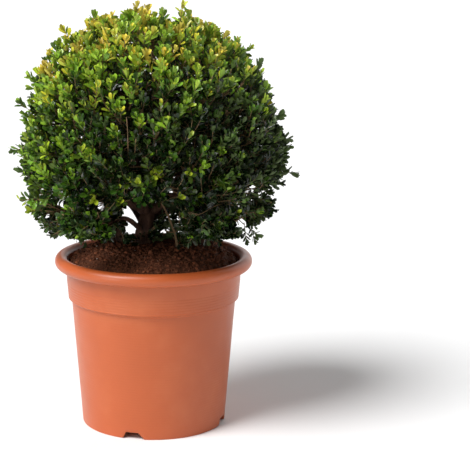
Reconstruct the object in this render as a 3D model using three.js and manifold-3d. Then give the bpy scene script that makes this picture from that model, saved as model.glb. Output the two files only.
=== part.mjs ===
// Box clipped to a ball, growing in a round plastic pot.
// Millimetres, Z up. The origin lies under the middle of the pot, on the level of its foot,
// and the front of the plant looks along -Y.

import * as THREE from 'three';
import { mergeVertices } from 'three/addons/utils/BufferGeometryUtils.js';
import Module from 'manifold-3d';

const wasm = await Module();
wasm.setup();

// Driving dimensions of the pot
const CLEARANCE = 0.3;
const ROUND_SIDES = 36;
const WALL = 3.5;
const FOOT_RADIUS = 117;
const FOOT_RING_WIDTH = 6.5;
const BASE_UNDERSIDE = 13;
const BASE_THICKNESS = 4;
const BODY_TOP_RADIUS = 133.4;
const BODY_TOP = 206;
const COLLAR_FOOT_RADIUS = 138.6;
const COLLAR_FOOT = 208.5;
const COLLAR_TOP_RADIUS = 141;
const COLLAR_TOP = 236;
const RIM_ROLL_RADIUS = 10.5;
const RIM_ROLL_THICKNESS = 3;
const RIM_MIDDLE_RADIUS = 149.5;
const RIM_MIDDLE = 268;
const RIM_LIP_ANGLE = -80;
const RIM_OUTER_STEPS = 7;
const RIM_INNER_STEPS = 4;
const NOTCH_TOP_WIDTH = 24;
const NOTCH_FOOT_WIDTH = 33;
const NOTCH_HEIGHT = 11;
const NOTCH_OVERCUT = 1;
const NOTCH_END_MARGIN = 6;
const NOTCH_AZIMUTHS = [253, 343, 73, 163];
const DRAIN_RADIUS = 5;
const DRAIN_SIDES = 12;
const DRAIN_CIRCLE_RADIUS = 94;

// Driving dimensions of the soil, heaped up round the stems
const SOIL_EDGE = 264;
const SOIL_CREST = 296;
const SOIL_CREST_RADIUS = 45;
const SOIL_SLOPE_POWER = 2.6;
const SOIL_SLOPE_STEPS = 5;

// Driving dimensions of the clipped ball: its outline is a squashed ball with its own
// roundness above and below its widest level, and a few broad swells and flats
const BALL_RADIUS = 214;
const BALL_WIDEST = 430;
const BALL_RISE = 246;
const BALL_DROP = 145;
const ROUNDNESS_ABOVE = 2.3;
const ROUNDNESS_BELOW = 2.6;
const SWELLS = [
  { azimuth: 182, elevation: 60, height: 10, sharpness: 13 },
  { azimuth: 186, elevation: 5, height: 5, sharpness: 10 },
  { azimuth: 190, elevation: -28, height: 4, sharpness: 10 },
  { azimuth: 356, elevation: 66, height: -8, sharpness: 14 },
  { azimuth: 4, elevation: -10, height: 8, sharpness: 12 },
  { azimuth: 350, elevation: -36, height: -8, sharpness: 10 },
  { azimuth: 75, elevation: 30, height: 7, sharpness: 8 },
  { azimuth: 130, elevation: 50, height: -7, sharpness: 9 },
  { azimuth: 265, elevation: 20, height: 5, sharpness: 8 },
  { azimuth: 310, elevation: 45, height: -6, sharpness: 9 },
];

// The dense core that the shoots stand out of, and the level that parts ball and skirt. The
// skirt's underside rises to the front by its slope, as the ball is clipped to show the stems.
const CORE_DEPTH = 40;
const CORE_DETAIL = 4;
const CORE_UNDERSIDE = 378;
const PARTING = 376;
const SKIRT_BOTTOM = 299;
const SKIRT_BOTTOM_SLOPE = 0.22;
const SKIRT_LOWEST = 287;
const SKIRT_TIP_MARGIN = 8;
const SPACE_MARGIN = 0.4;

// Shoots and leaves, larger than life because there are fewer of them
const BALL_SHOOTS = 102;
const SHOOT_LIFT = 0.32;
const LIFT_AT_MIDDLE = 0.4;
const LIFT_GAIN = 1.5;
const SHOOT_ROOT = 14;
const SHOOT_STRETCH = [0.9, 1.03];
const ROOT_ABOVE_UNDERSIDE = 5;
const LEAF_LENGTH = 40;
const LEAF_WIDTH = 21;
const LEAF_KEEL = 1.8;
const LEAF_EDGE_LIFT = 0.5;
const LEAF_WIDEST = 0.6;
const LEAF_OPENING = [56, 40];
const LEAF_PAIR_PLACES = [0.62, 0.86];
const LAST_LEAF_OPENING = 18;
const LAST_LEAF_TURN = 40;
const TWIG_SIDES = 3;
const TWIG_RADIUS = 3;
const TWIG_TIP = 12;
const OUTLINE_ALLOWANCE = 10;
const OUTLINE_STEPS = 12;

// The furthest shoots, each by the point that its last leaf reaches, have smaller leaves
const LONG_SHOOT_LEAF = 0.8;
const FURTHEST_TIPS = [
  [47, -6, 690],
  [12, 30, 676],
  [-233, -14, 446],
  [-228, 40, 412],
  [236, -10, 409],
  [231, 36, 449],
  [-24, -232, 438],
  [30, -226, 470],
  [20, 233, 428],
  [-150, 14, 640],
  [-93, -4, 672],
  [-6, -2, 683],
  [160, -10, 619],
  [-205, 2, 572],
  [102, -5, 643],
];

// Stems: each runs through four points and tapers from its flared foot to its tip
const FLARE_FADE = 5;
const STEMS = [
  {
    name: 'trunk', sides: 9, radii: [13.8, 11.4], flare: 11,
    through: [[-17, 0, 284], [-16, 1, 312], [-12, 3, 334], [-9, 4, 350]],
  },
  {
    name: 'stem_left', sides: 7, radii: [8, 5.6], flare: 3.5,
    through: [[-50, 10, 284], [-55, 9, 312], [-64, 9, 348], [-74, 8, 392]],
  },
  {
    name: 'stem_right', sides: 7, radii: [8.6, 5.8], flare: 3.5,
    through: [[74, 2, 282], [80, 1, 312], [92, -2, 346], [112, -6, 392]],
  },
  {
    name: 'stem_front', sides: 6, radii: [2.4, 1.8], flare: 1.2,
    through: [[38, -34, 284], [35, -37, 312], [24, -43, 345], [2, -50, 392]],
  },
];

const FORK = [-9, 4, 344];
const UPPER_BOUGHS = [
  { name: 'bough_front', azimuth: 246, spread: 62 },
  { name: 'bough_front_left', azimuth: 200, spread: 70 },
  { name: 'bough_back_left', azimuth: 142, spread: 66 },
  { name: 'bough_back', azimuth: 78, spread: 68 },
  { name: 'bough_right', azimuth: 12, spread: 72 },
];
const UPPER_BOUGH_TOP = 396;
const UPPER_BOUGH_BEND = 6;
const UPPER_BOUGH_RADII = [7.6, 5.2];
const UPPER_BOUGH_SIDES = 6;

// Low boughs, one for each mass of the skirt: the azimuths of the mass's two edges, and the point
// of the limb that the bough leaves. The gap at the front shows the trunk.
const LOW_BOUGH_TIP_RADIUS = 116;
const LOW_BOUGH_TIP = 345;
const LOW_BOUGH_ARCH = 1;
const LOW_BOUGH_BEND_PLACE = 0.55;
const LOW_BOUGH_RADII = [4.6, 3];
const LOW_BOUGH_SIDES = 6;
const SKIRTS = [
  { side: 'left', edges: [150, 210], from: [-57, 9, 320] },
  { side: 'front_left', edges: [210, 254], from: [-16, 1, 314] },
  { side: 'front_right', edges: [282, 330], from: [81, 0, 316] },
  { side: 'right', edges: [330, 390], from: [84, 0, 326] },
  { side: 'back_right', edges: [30, 90], from: [-13, 3, 324] },
  { side: 'back_left', edges: [90, 150], from: [-14, 2, 318] },
];

// The skirt's airy sprays: one stem from the bough's tip, and side twigs off it that reach the
// outline, each by its place on the stem, its turn from the spray's middle as a share of the way
// to the spray's side, and its elevation from the ball's middle
const SPRAY_STEM_RADII = [3, 1.8];
const SPRAY_STEM_SIDES = 4;
const SPRAY_STEM_FALL = 0.2;
const SPRAY_STEM_REACH = 0.6;
const SPRAY_STEM_BEND_PLACE = 1 / 3;
const SIDE_TWIGS = [
  { place: 0.2, turn: 0.67, elevation: -18 },
  { place: 0.2, turn: -0.7, elevation: -31 },
  { place: 0.5, turn: 0.57, elevation: -38 },
  { place: 0.5, turn: -0.6, elevation: -16 },
  { place: 0.75, turn: -0.2, elevation: -38 },
  { place: 0.98, turn: 0.4, elevation: -26 },
  { place: 0.98, turn: 0, elevation: -16 },
];
const SIDE_TWIG_STRETCH = [0.92, 1.04];
const LOWEST_SHOOT = { side: 'right', from: [150, -2, 334], toward: [166, -6, 292] };

const finish = (color, roughness) => new THREE.MeshStandardMaterial({ color, roughness, metalness: 0 });
const PLASTIC = finish('#cf7245', 0.45);
const PEAT = finish('#2e1a12', 0.95);
const BARK = finish('#5b3a29', 0.85);
const YOUNG_BARK = finish('#8a6a44', 0.8);
const LEAVES = finish('#4d7a24', 0.5);

const SAME_PLACE = 1e-4;
const SCATTER_STRIDES = [127.1, 311.7];
const SCATTER_GAIN = 43758.5453;
const UP = new THREE.Vector3(0, 0, 1);
const CONE_AXIS = new THREE.Vector3(0, 1, 0);
const MIDDLE = new THREE.Vector3(0, 0, BALL_WIDEST);
const point = (numbers) => new THREE.Vector3(...numbers);
const radians = (degrees) => THREE.MathUtils.degToRad(degrees);
const between = (range, share) => THREE.MathUtils.lerp(range[0], range[1], share);
const along = (from, direction, length) => from.clone().addScaledVector(direction, length);

// A fixed scatter between 0 and 1, the same for the same two numbers
function scatter(index, salt) {
  const value = Math.sin(index * SCATTER_STRIDES[0] + salt * SCATTER_STRIDES[1]) * SCATTER_GAIN;
  return value - Math.floor(value);
}

function compass(azimuth, elevation = 0) {
  const level = Math.cos(radians(elevation));
  return new THREE.Vector3(
    level * Math.cos(radians(azimuth)),
    level * Math.sin(radians(azimuth)),
    Math.sin(radians(elevation)),
  );
}

// Closed solids from geometries and back, and their joins
function solidFrom(geometry) {
  const bare = geometry.clone();
  bare.deleteAttribute('normal');
  bare.deleteAttribute('uv');
  const merged = mergeVertices(bare, SAME_PLACE);
  const corners = merged.index.array;
  const triVerts = [];
  for (let corner = 0; corner < corners.length; corner += 3) {
    const [a, b, c] = corners.subarray(corner, corner + 3);
    if (a !== b && b !== c && c !== a) triVerts.push(a, b, c);
  }
  return new wasm.Manifold(
    new wasm.Mesh({
      numProp: 3,
      vertProperties: Float32Array.from(merged.attributes.position.array),
      triVerts: Uint32Array.from(triVerts),
    }),
  );
}

function join(solids) {
  if (solids.length === 1) return solids[0];
  const half = Math.ceil(solids.length / 2);
  return join(solids.slice(0, half)).add(join(solids.slice(half)));
}

// The largest body of a solid: a sealed hollow is filled and a loose scrap dropped
function largestBody(solid) {
  return solid.decompose().reduce((best, body) => (body.volume() > best.volume() ? body : best));
}

function meshFrom(name, solid, material) {
  const { vertProperties, triVerts } = solid.getMesh();
  const geometry = new THREE.BufferGeometry();
  geometry.setAttribute('position', new THREE.BufferAttribute(Float32Array.from(vertProperties), 3));
  geometry.setIndex(new THREE.BufferAttribute(Uint32Array.from(triVerts), 1));
  geometry.computeVertexNormals();
  const mesh = new THREE.Mesh(geometry, material);
  mesh.name = name;
  return mesh;
}

// A turned body from its half section, given as radius and height from the axis round to the axis
function turned(section) {
  const outline = section.map(([radius, height]) => new THREE.Vector2(radius, height));
  return solidFrom(new THREE.LatheGeometry(outline, ROUND_SIDES).rotateX(Math.PI / 2));
}

// Part of a circle in the half section, from one angle to another
function arc(radius, fromAngle, toAngle, steps) {
  return Array.from({ length: steps + 1 }, (_, step) => {
    const angle = radians(between([fromAngle, toAngle], step / steps));
    return [RIM_MIDDLE_RADIUS + radius * Math.cos(angle), RIM_MIDDLE + radius * Math.sin(angle)];
  });
}

// The pot's inside from the base up to the rim
function innerWall() {
  const bodyRadius = (height) => between([FOOT_RADIUS, BODY_TOP_RADIUS], height / BODY_TOP) - WALL;
  const baseTop = BASE_UNDERSIDE + BASE_THICKNESS;
  return [
    [bodyRadius(baseTop), baseTop],
    [BODY_TOP_RADIUS - WALL, BODY_TOP + WALL],
    [COLLAR_FOOT_RADIUS - WALL, COLLAR_FOOT + WALL],
    [COLLAR_TOP_RADIUS - WALL, COLLAR_TOP + WALL],
    [RIM_MIDDLE_RADIUS - RIM_ROLL_RADIUS, RIM_MIDDLE],
  ];
}

function notch(azimuth) {
  const opening = new THREE.Shape([
    new THREE.Vector2(-NOTCH_FOOT_WIDTH / 2, -NOTCH_OVERCUT),
    new THREE.Vector2(NOTCH_FOOT_WIDTH / 2, -NOTCH_OVERCUT),
    new THREE.Vector2(NOTCH_TOP_WIDTH / 2, NOTCH_HEIGHT),
    new THREE.Vector2(-NOTCH_TOP_WIDTH / 2, NOTCH_HEIGHT),
  ]);
  const depth = FOOT_RING_WIDTH + 2 * NOTCH_END_MARGIN;
  const block = new THREE.ExtrudeGeometry(opening, { depth, bevelEnabled: false });
  block.rotateX(Math.PI / 2).rotateZ(Math.PI / 2);
  block.translate(FOOT_RADIUS - FOOT_RING_WIDTH - NOTCH_END_MARGIN, 0, 0);
  return solidFrom(block.rotateZ(radians(azimuth)));
}

function drain(azimuth) {
  const length = 4 * BASE_THICKNESS;
  const bore = new THREE.CylinderGeometry(DRAIN_RADIUS, DRAIN_RADIUS, length, DRAIN_SIDES);
  bore.rotateX(Math.PI / 2).translate(DRAIN_CIRCLE_RADIUS, 0, BASE_UNDERSIDE + BASE_THICKNESS / 2);
  return solidFrom(bore.rotateZ(radians(azimuth)));
}

// Pot: foot ring with notches, body, shoulder, collar and a rolled rim that is open beneath
function pot() {
  const outside = [
    [0, BASE_UNDERSIDE],
    [FOOT_RADIUS - FOOT_RING_WIDTH, BASE_UNDERSIDE],
    [FOOT_RADIUS - FOOT_RING_WIDTH, 0],
    [FOOT_RADIUS, 0],
    [BODY_TOP_RADIUS, BODY_TOP],
    [COLLAR_FOOT_RADIUS, COLLAR_FOOT],
    [COLLAR_TOP_RADIUS, COLLAR_TOP],
  ];
  const underRim = arc(RIM_ROLL_RADIUS - RIM_ROLL_THICKNESS, 180, RIM_LIP_ANGLE, RIM_INNER_STEPS);
  const overRim = arc(RIM_ROLL_RADIUS, RIM_LIP_ANGLE, 180, RIM_OUTER_STEPS);
  const inside = innerWall().reverse().slice(1);
  const axisPoint = [0, BASE_UNDERSIDE + BASE_THICKNESS];
  const body = turned([...outside, ...underRim, ...overRim, ...inside, axisPoint]);
  return body.subtract(join([...NOTCH_AZIMUTHS.map(notch), ...NOTCH_AZIMUTHS.map(drain)]));
}

// Soil: fills the pot inside its wall and rises to a broad crest, lifted by the given amount
function soil(lift = 0) {
  const wall = innerWall().map(([radius, height]) => [radius - CLEARANCE, height]);
  const [below, above] = wall.slice(-2);
  const share = (SOIL_EDGE - below[1]) / (above[1] - below[1]);
  const edgeRadius = between([below[0], above[0]], share);
  const base = wall[0][1] + CLEARANCE;
  const slope = Array.from({ length: SOIL_SLOPE_STEPS + 1 }, (_, step) => {
    const out = 1 - step / SOIL_SLOPE_STEPS;
    const height = SOIL_CREST - (SOIL_CREST - SOIL_EDGE) * out ** SOIL_SLOPE_POWER;
    return [between([SOIL_CREST_RADIUS, edgeRadius], out), height + lift];
  });
  return turned([[0, base], [wall[0][0], base], ...wall.slice(1, -1), ...slope, [0, SOIL_CREST + lift]]);
}

// How far the ball's outline lies from its middle in a direction
function outline(direction) {
  const level = Math.hypot(direction.x, direction.y) / BALL_RADIUS;
  const above = direction.z > 0;
  const upright = Math.abs(direction.z) / (above ? BALL_RISE : BALL_DROP);
  const roundness = above ? ROUNDNESS_ABOVE : ROUNDNESS_BELOW;
  const smooth = (level ** roundness + upright ** roundness) ** (-1 / roundness);
  return SWELLS.reduce((reach, { azimuth, elevation, height, sharpness }) => {
    const closeness = direction.dot(compass(azimuth, elevation)) - 1;
    return reach + height * Math.exp(sharpness * closeness);
  }, smooth);
}

// How far a place lies outside the ball's outline, less than 0 where it is inside
function beyondOutline(place) {
  const offset = place.clone().sub(MIDDLE);
  const distance = offset.length();
  return distance - outline(offset.normalize());
}

// How far from a place, along a direction, the outline is met
function lengthToOutline(from, direction) {
  let length = 0;
  for (let step = 0; step < OUTLINE_STEPS; step += 1) {
    length -= beyondOutline(along(from, direction, length));
  }
  return length;
}

// The dense core: the outline drawn in by CORE_DEPTH, with a flat underside, grown all over by
// the given amount
function core(grow = 0) {
  const ball = new THREE.IcosahedronGeometry(1, CORE_DETAIL);
  const places = ball.attributes.position;
  for (let index = 0; index < places.count; index += 1) {
    const direction = new THREE.Vector3().fromBufferAttribute(places, index).normalize();
    const drop = BALL_WIDEST - CORE_UNDERSIDE + grow;
    const toUnderside = direction.z < 0 ? drop / -direction.z : Infinity;
    const reach = Math.min(outline(direction) - CORE_DEPTH + grow, toUnderside);
    places.setXYZ(index, direction.x * reach, direction.y * reach, BALL_WIDEST + direction.z * reach);
  }
  return solidFrom(ball);
}

// A limb: a tapering round bar bent along a smooth line, thickened all over by the given amount
function limb({ through, radii, sides, flare = 0 }, grow = 0) {
  const line = new THREE.CatmullRomCurve3(through.map(point));
  const steps = 2 * (through.length - 1);
  const { tangents, normals } = line.computeFrenetFrames(steps);
  const bar = new THREE.CylinderGeometry(1, 1, 1, sides, steps);
  const places = bar.attributes.position;
  for (let index = 0; index < places.count; index += 1) {
    const share = places.getY(index) + 0.5;
    const step = Math.round(share * steps);
    const end = step === 0 ? -grow : step === steps ? grow : 0;
    const side = new THREE.Vector3().crossVectors(normals[step], tangents[step]);
    const radius = between(radii, share) + flare * Math.exp(-FLARE_FADE * share) + grow;
    const place = along(line.getPointAt(share), tangents[step], end);
    place.addScaledVector(normals[step], places.getX(index) * radius);
    place.addScaledVector(side, places.getZ(index) * radius);
    places.setXYZ(index, place.x, place.y, place.z);
  }
  return solidFrom(bar);
}

function upperBough({ name, azimuth, spread }) {
  const foot = point(FORK);
  const tip = along(foot, compass(azimuth), spread).setZ(UPPER_BOUGH_TOP);
  const bend = along(foot.clone().lerp(tip, 0.5), compass(azimuth), UPPER_BOUGH_BEND);
  const through = [foot, bend, tip].map((place) => place.toArray());
  return { name, through, radii: UPPER_BOUGH_RADII, sides: UPPER_BOUGH_SIDES };
}

function lowBough({ side, edges, from }) {
  const tip = compass(between(edges, 0.5)).multiplyScalar(LOW_BOUGH_TIP_RADIUS).setZ(LOW_BOUGH_TIP);
  const bend = point(from).lerp(tip, LOW_BOUGH_BEND_PLACE).setZ(LOW_BOUGH_TIP + LOW_BOUGH_ARCH);
  const through = [from, bend.toArray(), tip.toArray()];
  return { name: `low_bough_${side}`, through, radii: LOW_BOUGH_RADII, sides: LOW_BOUGH_SIDES };
}

// All limbs in the order in which each is cut clear of the soil, the core and the limbs before it
function limbs() {
  const all = [...STEMS, ...UPPER_BOUGHS.map(upperBough), ...SKIRTS.map(lowBough)];
  let taken = soil(CLEARANCE).add(core(CLEARANCE));
  return all.map((shape) => {
    const solid = largestBody(limb(shape).subtract(taken));
    taken = taken.add(limb(shape, CLEARANCE));
    return { ...shape, solid };
  });
}

// A leaf: a thin blade from its foot along its direction, widest past its middle, where its
// edges are lifted a little and its keel lies below
function leaf(foot, direction, across, size) {
  const blade = new THREE.SphereGeometry(1, 3, 2);
  const places = blade.attributes.position;
  const above = new THREE.Vector3().crossVectors(direction, across);
  for (let index = 0; index < places.count; index += 1) {
    const end = Math.round(places.getY(index));
    const edge = Math.round(places.getZ(index)) / 2;
    const lift = edge === 0 ? -1 : LEAF_EDGE_LIFT;
    const [length, width, height] = end === 0 ? [LEAF_WIDEST, edge, lift] : [(end + 1) / 2, 0, 0];
    const place = along(foot, direction, size * LEAF_LENGTH * length);
    place.addScaledVector(across, size * LEAF_WIDTH * width);
    place.addScaledVector(above, size * LEAF_KEEL * height);
    places.setXYZ(index, place.x, place.y, place.z);
  }
  return blade;
}

// A straight three-sided twig that tapers to a point
function twig(from, to, radius) {
  const direction = to.clone().sub(from);
  const length = direction.length();
  const bar = new THREE.ConeGeometry(radius, length, TWIG_SIDES).translate(0, length / 2, 0);
  const turn = new THREE.Quaternion().setFromUnitVectors(CONE_AXIS, direction.normalize());
  return bar.applyQuaternion(turn).translate(from.x, from.y, from.z);
}

// A mass of foliage that keeps to its own space and clear of the limbs
class Mass {
  constructor(first, allowed, obstacles) {
    this.solids = first;
    this.allowed = allowed;
    this.obstacles = obstacles;
  }

  // Takes in a twig or leaf, or skips it where it would leave the space or touch a limb
  take(geometry) {
    const places = geometry.attributes.position;
    for (let index = 0; index < places.count; index += 1) {
      if (!this.allowed(new THREE.Vector3().fromBufferAttribute(places, index))) return false;
    }
    const solid = solidFrom(geometry);
    if (!solid.intersect(this.obstacles).isEmpty()) return false;
    this.solids.push(solid);
    return true;
  }

  // A leafy shoot: a twig with leaves in pairs, each pair turned a quarter, and one at its tip
  shoot(from, direction, length, turn, size = 1) {
    const lastLeaf = size * LEAF_LENGTH * Math.cos(radians(LAST_LEAF_OPENING));
    const stem = Math.max(length - lastLeaf, TWIG_TIP);
    if (!this.take(twig(from, along(from, direction, stem + TWIG_TIP), TWIG_RADIUS))) return;
    const across = new THREE.Vector3().crossVectors(direction, UP).normalize();
    LEAF_PAIR_PLACES.forEach((share, pair) => {
      for (const half of [0, 180]) {
        const out = across.clone().applyAxisAngle(direction, radians(turn + 90 * pair + half));
        this.leafAt(along(from, direction, share * stem), direction, out, LEAF_OPENING[pair], size);
      }
    });
    const last = across.clone().applyAxisAngle(direction, radians(turn + LAST_LEAF_TURN));
    this.leafAt(along(from, direction, stem), direction, last, LAST_LEAF_OPENING, size);
  }

  leafAt(foot, twigDirection, out, opening, size) {
    const direction = twigDirection.clone().multiplyScalar(Math.cos(radians(opening)));
    direction.addScaledVector(out, Math.sin(radians(opening)));
    const across = new THREE.Vector3().crossVectors(twigDirection, direction).normalize();
    this.take(leaf(foot, direction, across, size));
  }

  joined() {
    return largestBody(join(this.solids));
  }
}

// The clipped ball above the skirt
function ball(obstacles) {
  const allowed = (place) => place.z > PARTING + SPACE_MARGIN && beyondOutline(place) < OUTLINE_ALLOWANCE;
  const mass = new Mass([core()], allowed, obstacles);
  const goldenAngle = 180 * (3 - Math.sqrt(5));
  for (let index = 0; index < BALL_SHOOTS; index += 1) {
    const elevation = THREE.MathUtils.radToDeg(Math.asin(1 - (2 * index + 1) / BALL_SHOOTS));
    const outward = compass(index * goldenAngle, elevation);
    const lift = SHOOT_LIFT * THREE.MathUtils.clamp(LIFT_AT_MIDDLE + LIFT_GAIN * outward.z, -1, 1);
    const direction = along(outward, UP, lift).normalize();
    const root = along(MIDDLE, outward, outline(outward) - CORE_DEPTH - SHOOT_ROOT);
    root.setZ(Math.max(root.z, CORE_UNDERSIDE + ROOT_ABOVE_UNDERSIDE));
    const length = lengthToOutline(root, direction) * between(SHOOT_STRETCH, scatter(index, 1));
    mass.shoot(root, direction, length, 180 * scatter(index, 2));
  }
  mass.allowed = (place) => place.z > PARTING + SPACE_MARGIN;
  FURTHEST_TIPS.map(point).forEach((tip, index) => {
    const outward = tip.clone().sub(MIDDLE).normalize();
    const root = along(MIDDLE, outward, outline(outward) - CORE_DEPTH - SHOOT_ROOT);
    const direction = tip.clone().sub(root).normalize();
    mass.shoot(root, direction, tip.distanceTo(root), 180 * scatter(index, 3), LONG_SHOOT_LEAF);
  });
  return mass;
}

// The level of the skirt's underside at a place, higher towards the front
function skirtBottom(place) {
  return Math.max(SKIRT_BOTTOM - SKIRT_BOTTOM_SLOPE * place.y, SKIRT_LOWEST);
}

// One airy mass of the skirt, from the tip of its low bough
function skirt({ side, edges: [firstEdge, lastEdge] }, bough, obstacles) {
  const low = compass(firstEdge + 90);
  const high = compass(lastEdge + 90);
  const inWedge = (place) =>
    place.dot(low) > SPACE_MARGIN &&
    place.dot(high) < -SPACE_MARGIN &&
    place.z < PARTING - SPACE_MARGIN &&
    place.z > SKIRT_LOWEST &&
    beyondOutline(place) < OUTLINE_ALLOWANCE;
  const allowed = (place) => inWedge(place) && place.z > skirtBottom(place);
  const middle = (firstEdge + lastEdge) / 2;
  const boughLine = new THREE.CatmullRomCurve3(bough.through.map(point));
  const boughDirection = boughLine.getTangentAt(1);
  const root = along(boughLine.getPointAt(1), boughDirection, CLEARANCE);
  const direction = along(compass(middle), UP, -SPRAY_STEM_FALL).normalize();
  const end = along(root, direction, lengthToOutline(root, direction) * SPRAY_STEM_REACH);
  end.setZ(Math.max(end.z, skirtBottom(end) + SKIRT_TIP_MARGIN));
  const bend = along(root, boughDirection, root.distanceTo(end) * SPRAY_STEM_BEND_PLACE);
  const through = [root, bend, end].map((place) => place.toArray());
  const stem = limb({ through, radii: SPRAY_STEM_RADII, sides: SPRAY_STEM_SIDES });
  const stemLine = new THREE.CatmullRomCurve3([root, bend, end]);
  const mass = new Mass([stem], allowed, obstacles);
  SIDE_TWIGS.forEach(({ place, turn, elevation }, index) => {
    const outward = compass(middle + (turn * (lastEdge - firstEdge)) / 2, elevation);
    const reach = along(MIDDLE, outward, outline(outward));
    reach.setZ(Math.max(reach.z, skirtBottom(reach) + SKIRT_TIP_MARGIN));
    const from = stemLine.getPointAt(place);
    const length = from.distanceTo(reach) * between(SIDE_TWIG_STRETCH, scatter(index, middle));
    mass.shoot(from, reach.sub(from).normalize(), length, 180 * scatter(index, middle + 1));
  });
  if (side === LOWEST_SHOOT.side) {
    mass.allowed = inWedge;
    const from = point(LOWEST_SHOOT.from);
    const to = point(LOWEST_SHOOT.toward);
    mass.shoot(from, to.clone().sub(from).normalize(), from.distanceTo(to), 0, LONG_SHOOT_LEAF);
  }
  return mass;
}

const plant = new THREE.Group();
plant.add(meshFrom('pot', pot(), PLASTIC));
plant.add(meshFrom('soil', soil(), PEAT));

const wood = limbs();
for (const { name, solid } of wood) {
  plant.add(meshFrom(name, solid, name === 'stem_front' ? YOUNG_BARK : BARK));
}

const obstacles = join(wood.map((shape) => limb(shape, CLEARANCE)));
const potAndSoil = pot().add(soil());
plant.add(meshFrom('crown', ball(obstacles).joined(), LEAVES));
for (const place of SKIRTS) {
  const bough = wood.find(({ name }) => name === `low_bough_${place.side}`);
  const mass = skirt(place, bough, obstacles.add(potAndSoil));
  plant.add(meshFrom(`skirt_${place.side}`, mass.joined(), LEAVES));
}

export default plant;
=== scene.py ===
"""Box clipped to a ball, growing in a round plastic pot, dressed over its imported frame.

Metres, Z up. The origin lies under the middle of the pot, on the level of its foot, and the
front of the plant looks along -Y.
"""

import math

import bpy
import numpy as np
from mathutils import Euler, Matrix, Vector, noise


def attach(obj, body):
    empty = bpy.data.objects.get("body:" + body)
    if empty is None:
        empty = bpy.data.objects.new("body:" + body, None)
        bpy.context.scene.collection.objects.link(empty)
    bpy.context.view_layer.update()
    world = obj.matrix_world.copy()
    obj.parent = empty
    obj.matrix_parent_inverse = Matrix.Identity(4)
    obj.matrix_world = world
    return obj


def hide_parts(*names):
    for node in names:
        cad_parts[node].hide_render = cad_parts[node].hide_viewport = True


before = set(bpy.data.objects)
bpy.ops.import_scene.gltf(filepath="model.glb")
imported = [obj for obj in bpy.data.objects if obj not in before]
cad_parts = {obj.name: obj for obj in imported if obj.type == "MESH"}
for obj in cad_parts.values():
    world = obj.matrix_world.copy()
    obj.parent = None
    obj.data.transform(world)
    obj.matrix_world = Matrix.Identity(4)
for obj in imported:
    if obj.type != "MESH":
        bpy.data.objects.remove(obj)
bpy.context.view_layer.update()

bl_info = {
    "name": "Potted box ball",
    "version": (1, 0, 0),
    "blender": (4, 5, 0),
    "location": "3D View > Sidebar > Box Ball",
    "description": "Makes a box shrub clipped to a ball, with its pot, soil, wood and leaves",
    "category": "Object",
}

UP = np.array([0.0, 0.0, 1.0])
BODY = "root"
SEED = 4100
SHORTEST = 1e-12
CURVE_STEPS = 60
GOLDEN_TURN = 0.618
# Bars more upright than this have their sides measured from the right, the others from above
STEEP = 0.8
# Axes a little off upright, so that an upright shoot has a direction across it too
FAN_AXIS = UP + 0.01
LEAF_AXIS = UP + np.array([0.02, 0.01, 0])

# Pot, as in its solid: points of its outside as radius and height, then its wall, base and rim
FOOT_RADIUS = 0.117
SHOULDER = (0.1334, 0.206)
COLLAR_FOOT = (0.1386, 0.2085)
COLLAR_TOP = (0.141, 0.236)
WALL = 0.0035
INNER_WALL = tuple((radius - WALL, height + WALL) for radius, height in (SHOULDER, COLLAR_FOOT, COLLAR_TOP))
FOOT_RING_WIDTH = 0.0065
BASE_UNDERSIDE = 0.013
BASE_THICKNESS = 0.004
BASE_RADII = (0, 0.05, 0.10)
RIM_MIDDLE = (0.1495, 0.268)
ROLL_RADIUS = 0.0105
ROLL_THICKNESS = 0.003
ROLL_STEPS = (22, 34)
LIP_ANGLE = -80
LIP_END = -89
# How far the corners are eased, from the foot ring's inside up to the collar's foot
EASINGS = (0.001, 0.0015, 0.0015, 0.0008, 0.0009)
EASING_STEPS = 5
SMOOTH_FOOT = 0.016
RIB_STEPS = 4
NOTCH_TOP_WIDTH = 0.024
NOTCH_FOOT_WIDTH = 0.033
NOTCH_HEIGHT = 0.011
NOTCH_AZIMUTHS = (253, 343, 73, 163)
NOTCH_TOLERANCE = 0.0001
DRAIN_RADIUS = 0.005
DRAIN_REACH = 0.01
DRAIN_SIDES = 32
DRAIN_CIRCLE_RADIUS = 0.094
POT_SHARP_ANGLE = 40

# Soil, heaped up round the stems
SOIL_CLEARANCE = 0.0003
SOIL_EDGE = 0.264
SOIL_CREST = 0.296
SOIL_CREST_RADIUS = 0.045
SOIL_SLOPE_POWER = 2.6
SOIL_RINGS = 90
SOIL_SEGMENTS = 260
# What lies above this depth below the soil's edge is its top, which is less uneven in a band along
# the edge: the band's width, and the share of the unevenness left at the edge
SOIL_TOP_DEPTH = 0.001
EDGE_BAND = 0.01
EDGE_LUMPS = 0.25
# The scale, layer and share of the soil's clods, lumps and crumbs
SOIL_UNEVENNESS = ((55, 3.1, 0.5), (140, 7.7, 0.6), (420, 1.9, 0.45))
# Loose crumbs, pale grains and fibres: their sizes, how far they keep from the soil's edge, and
# how much they vary
CRUMB_SIZES = (0.0009, 0.0046)
CRUMB_MARGIN = 0.004
CRUMB_SHARES = (0.62, 0.31, 0.07)
CRUMB_SHRINKING = (0.5, 1.0)
CRUMB_STRETCH = (0.55, 1.3)
CRUMB_DENTS = (0.75, 1.2)
CRUMB_TURNS = (0, 6.28)
GRAINS = 34
GRAIN_SIZES = (0.0008, 0.0020)
GRAIN_MARGIN = 0.006
FIBRE_MARGIN = 0.014
FIBRE_LENGTHS = (0.006, 0.026)
FIBRE_LIFTS = (0.0002, 0.0016)
FIBRE_RADII = (0.0002, 0.00055)
FIBRE_TILTS = (-14, 14)
FIBRE_CURVES = (-0.3, 0.3)
FIBRE_PROFILE = (0.5, 1.0, 1.1, 0.9, 0.4)
FIBRE_SIDES = 4

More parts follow.
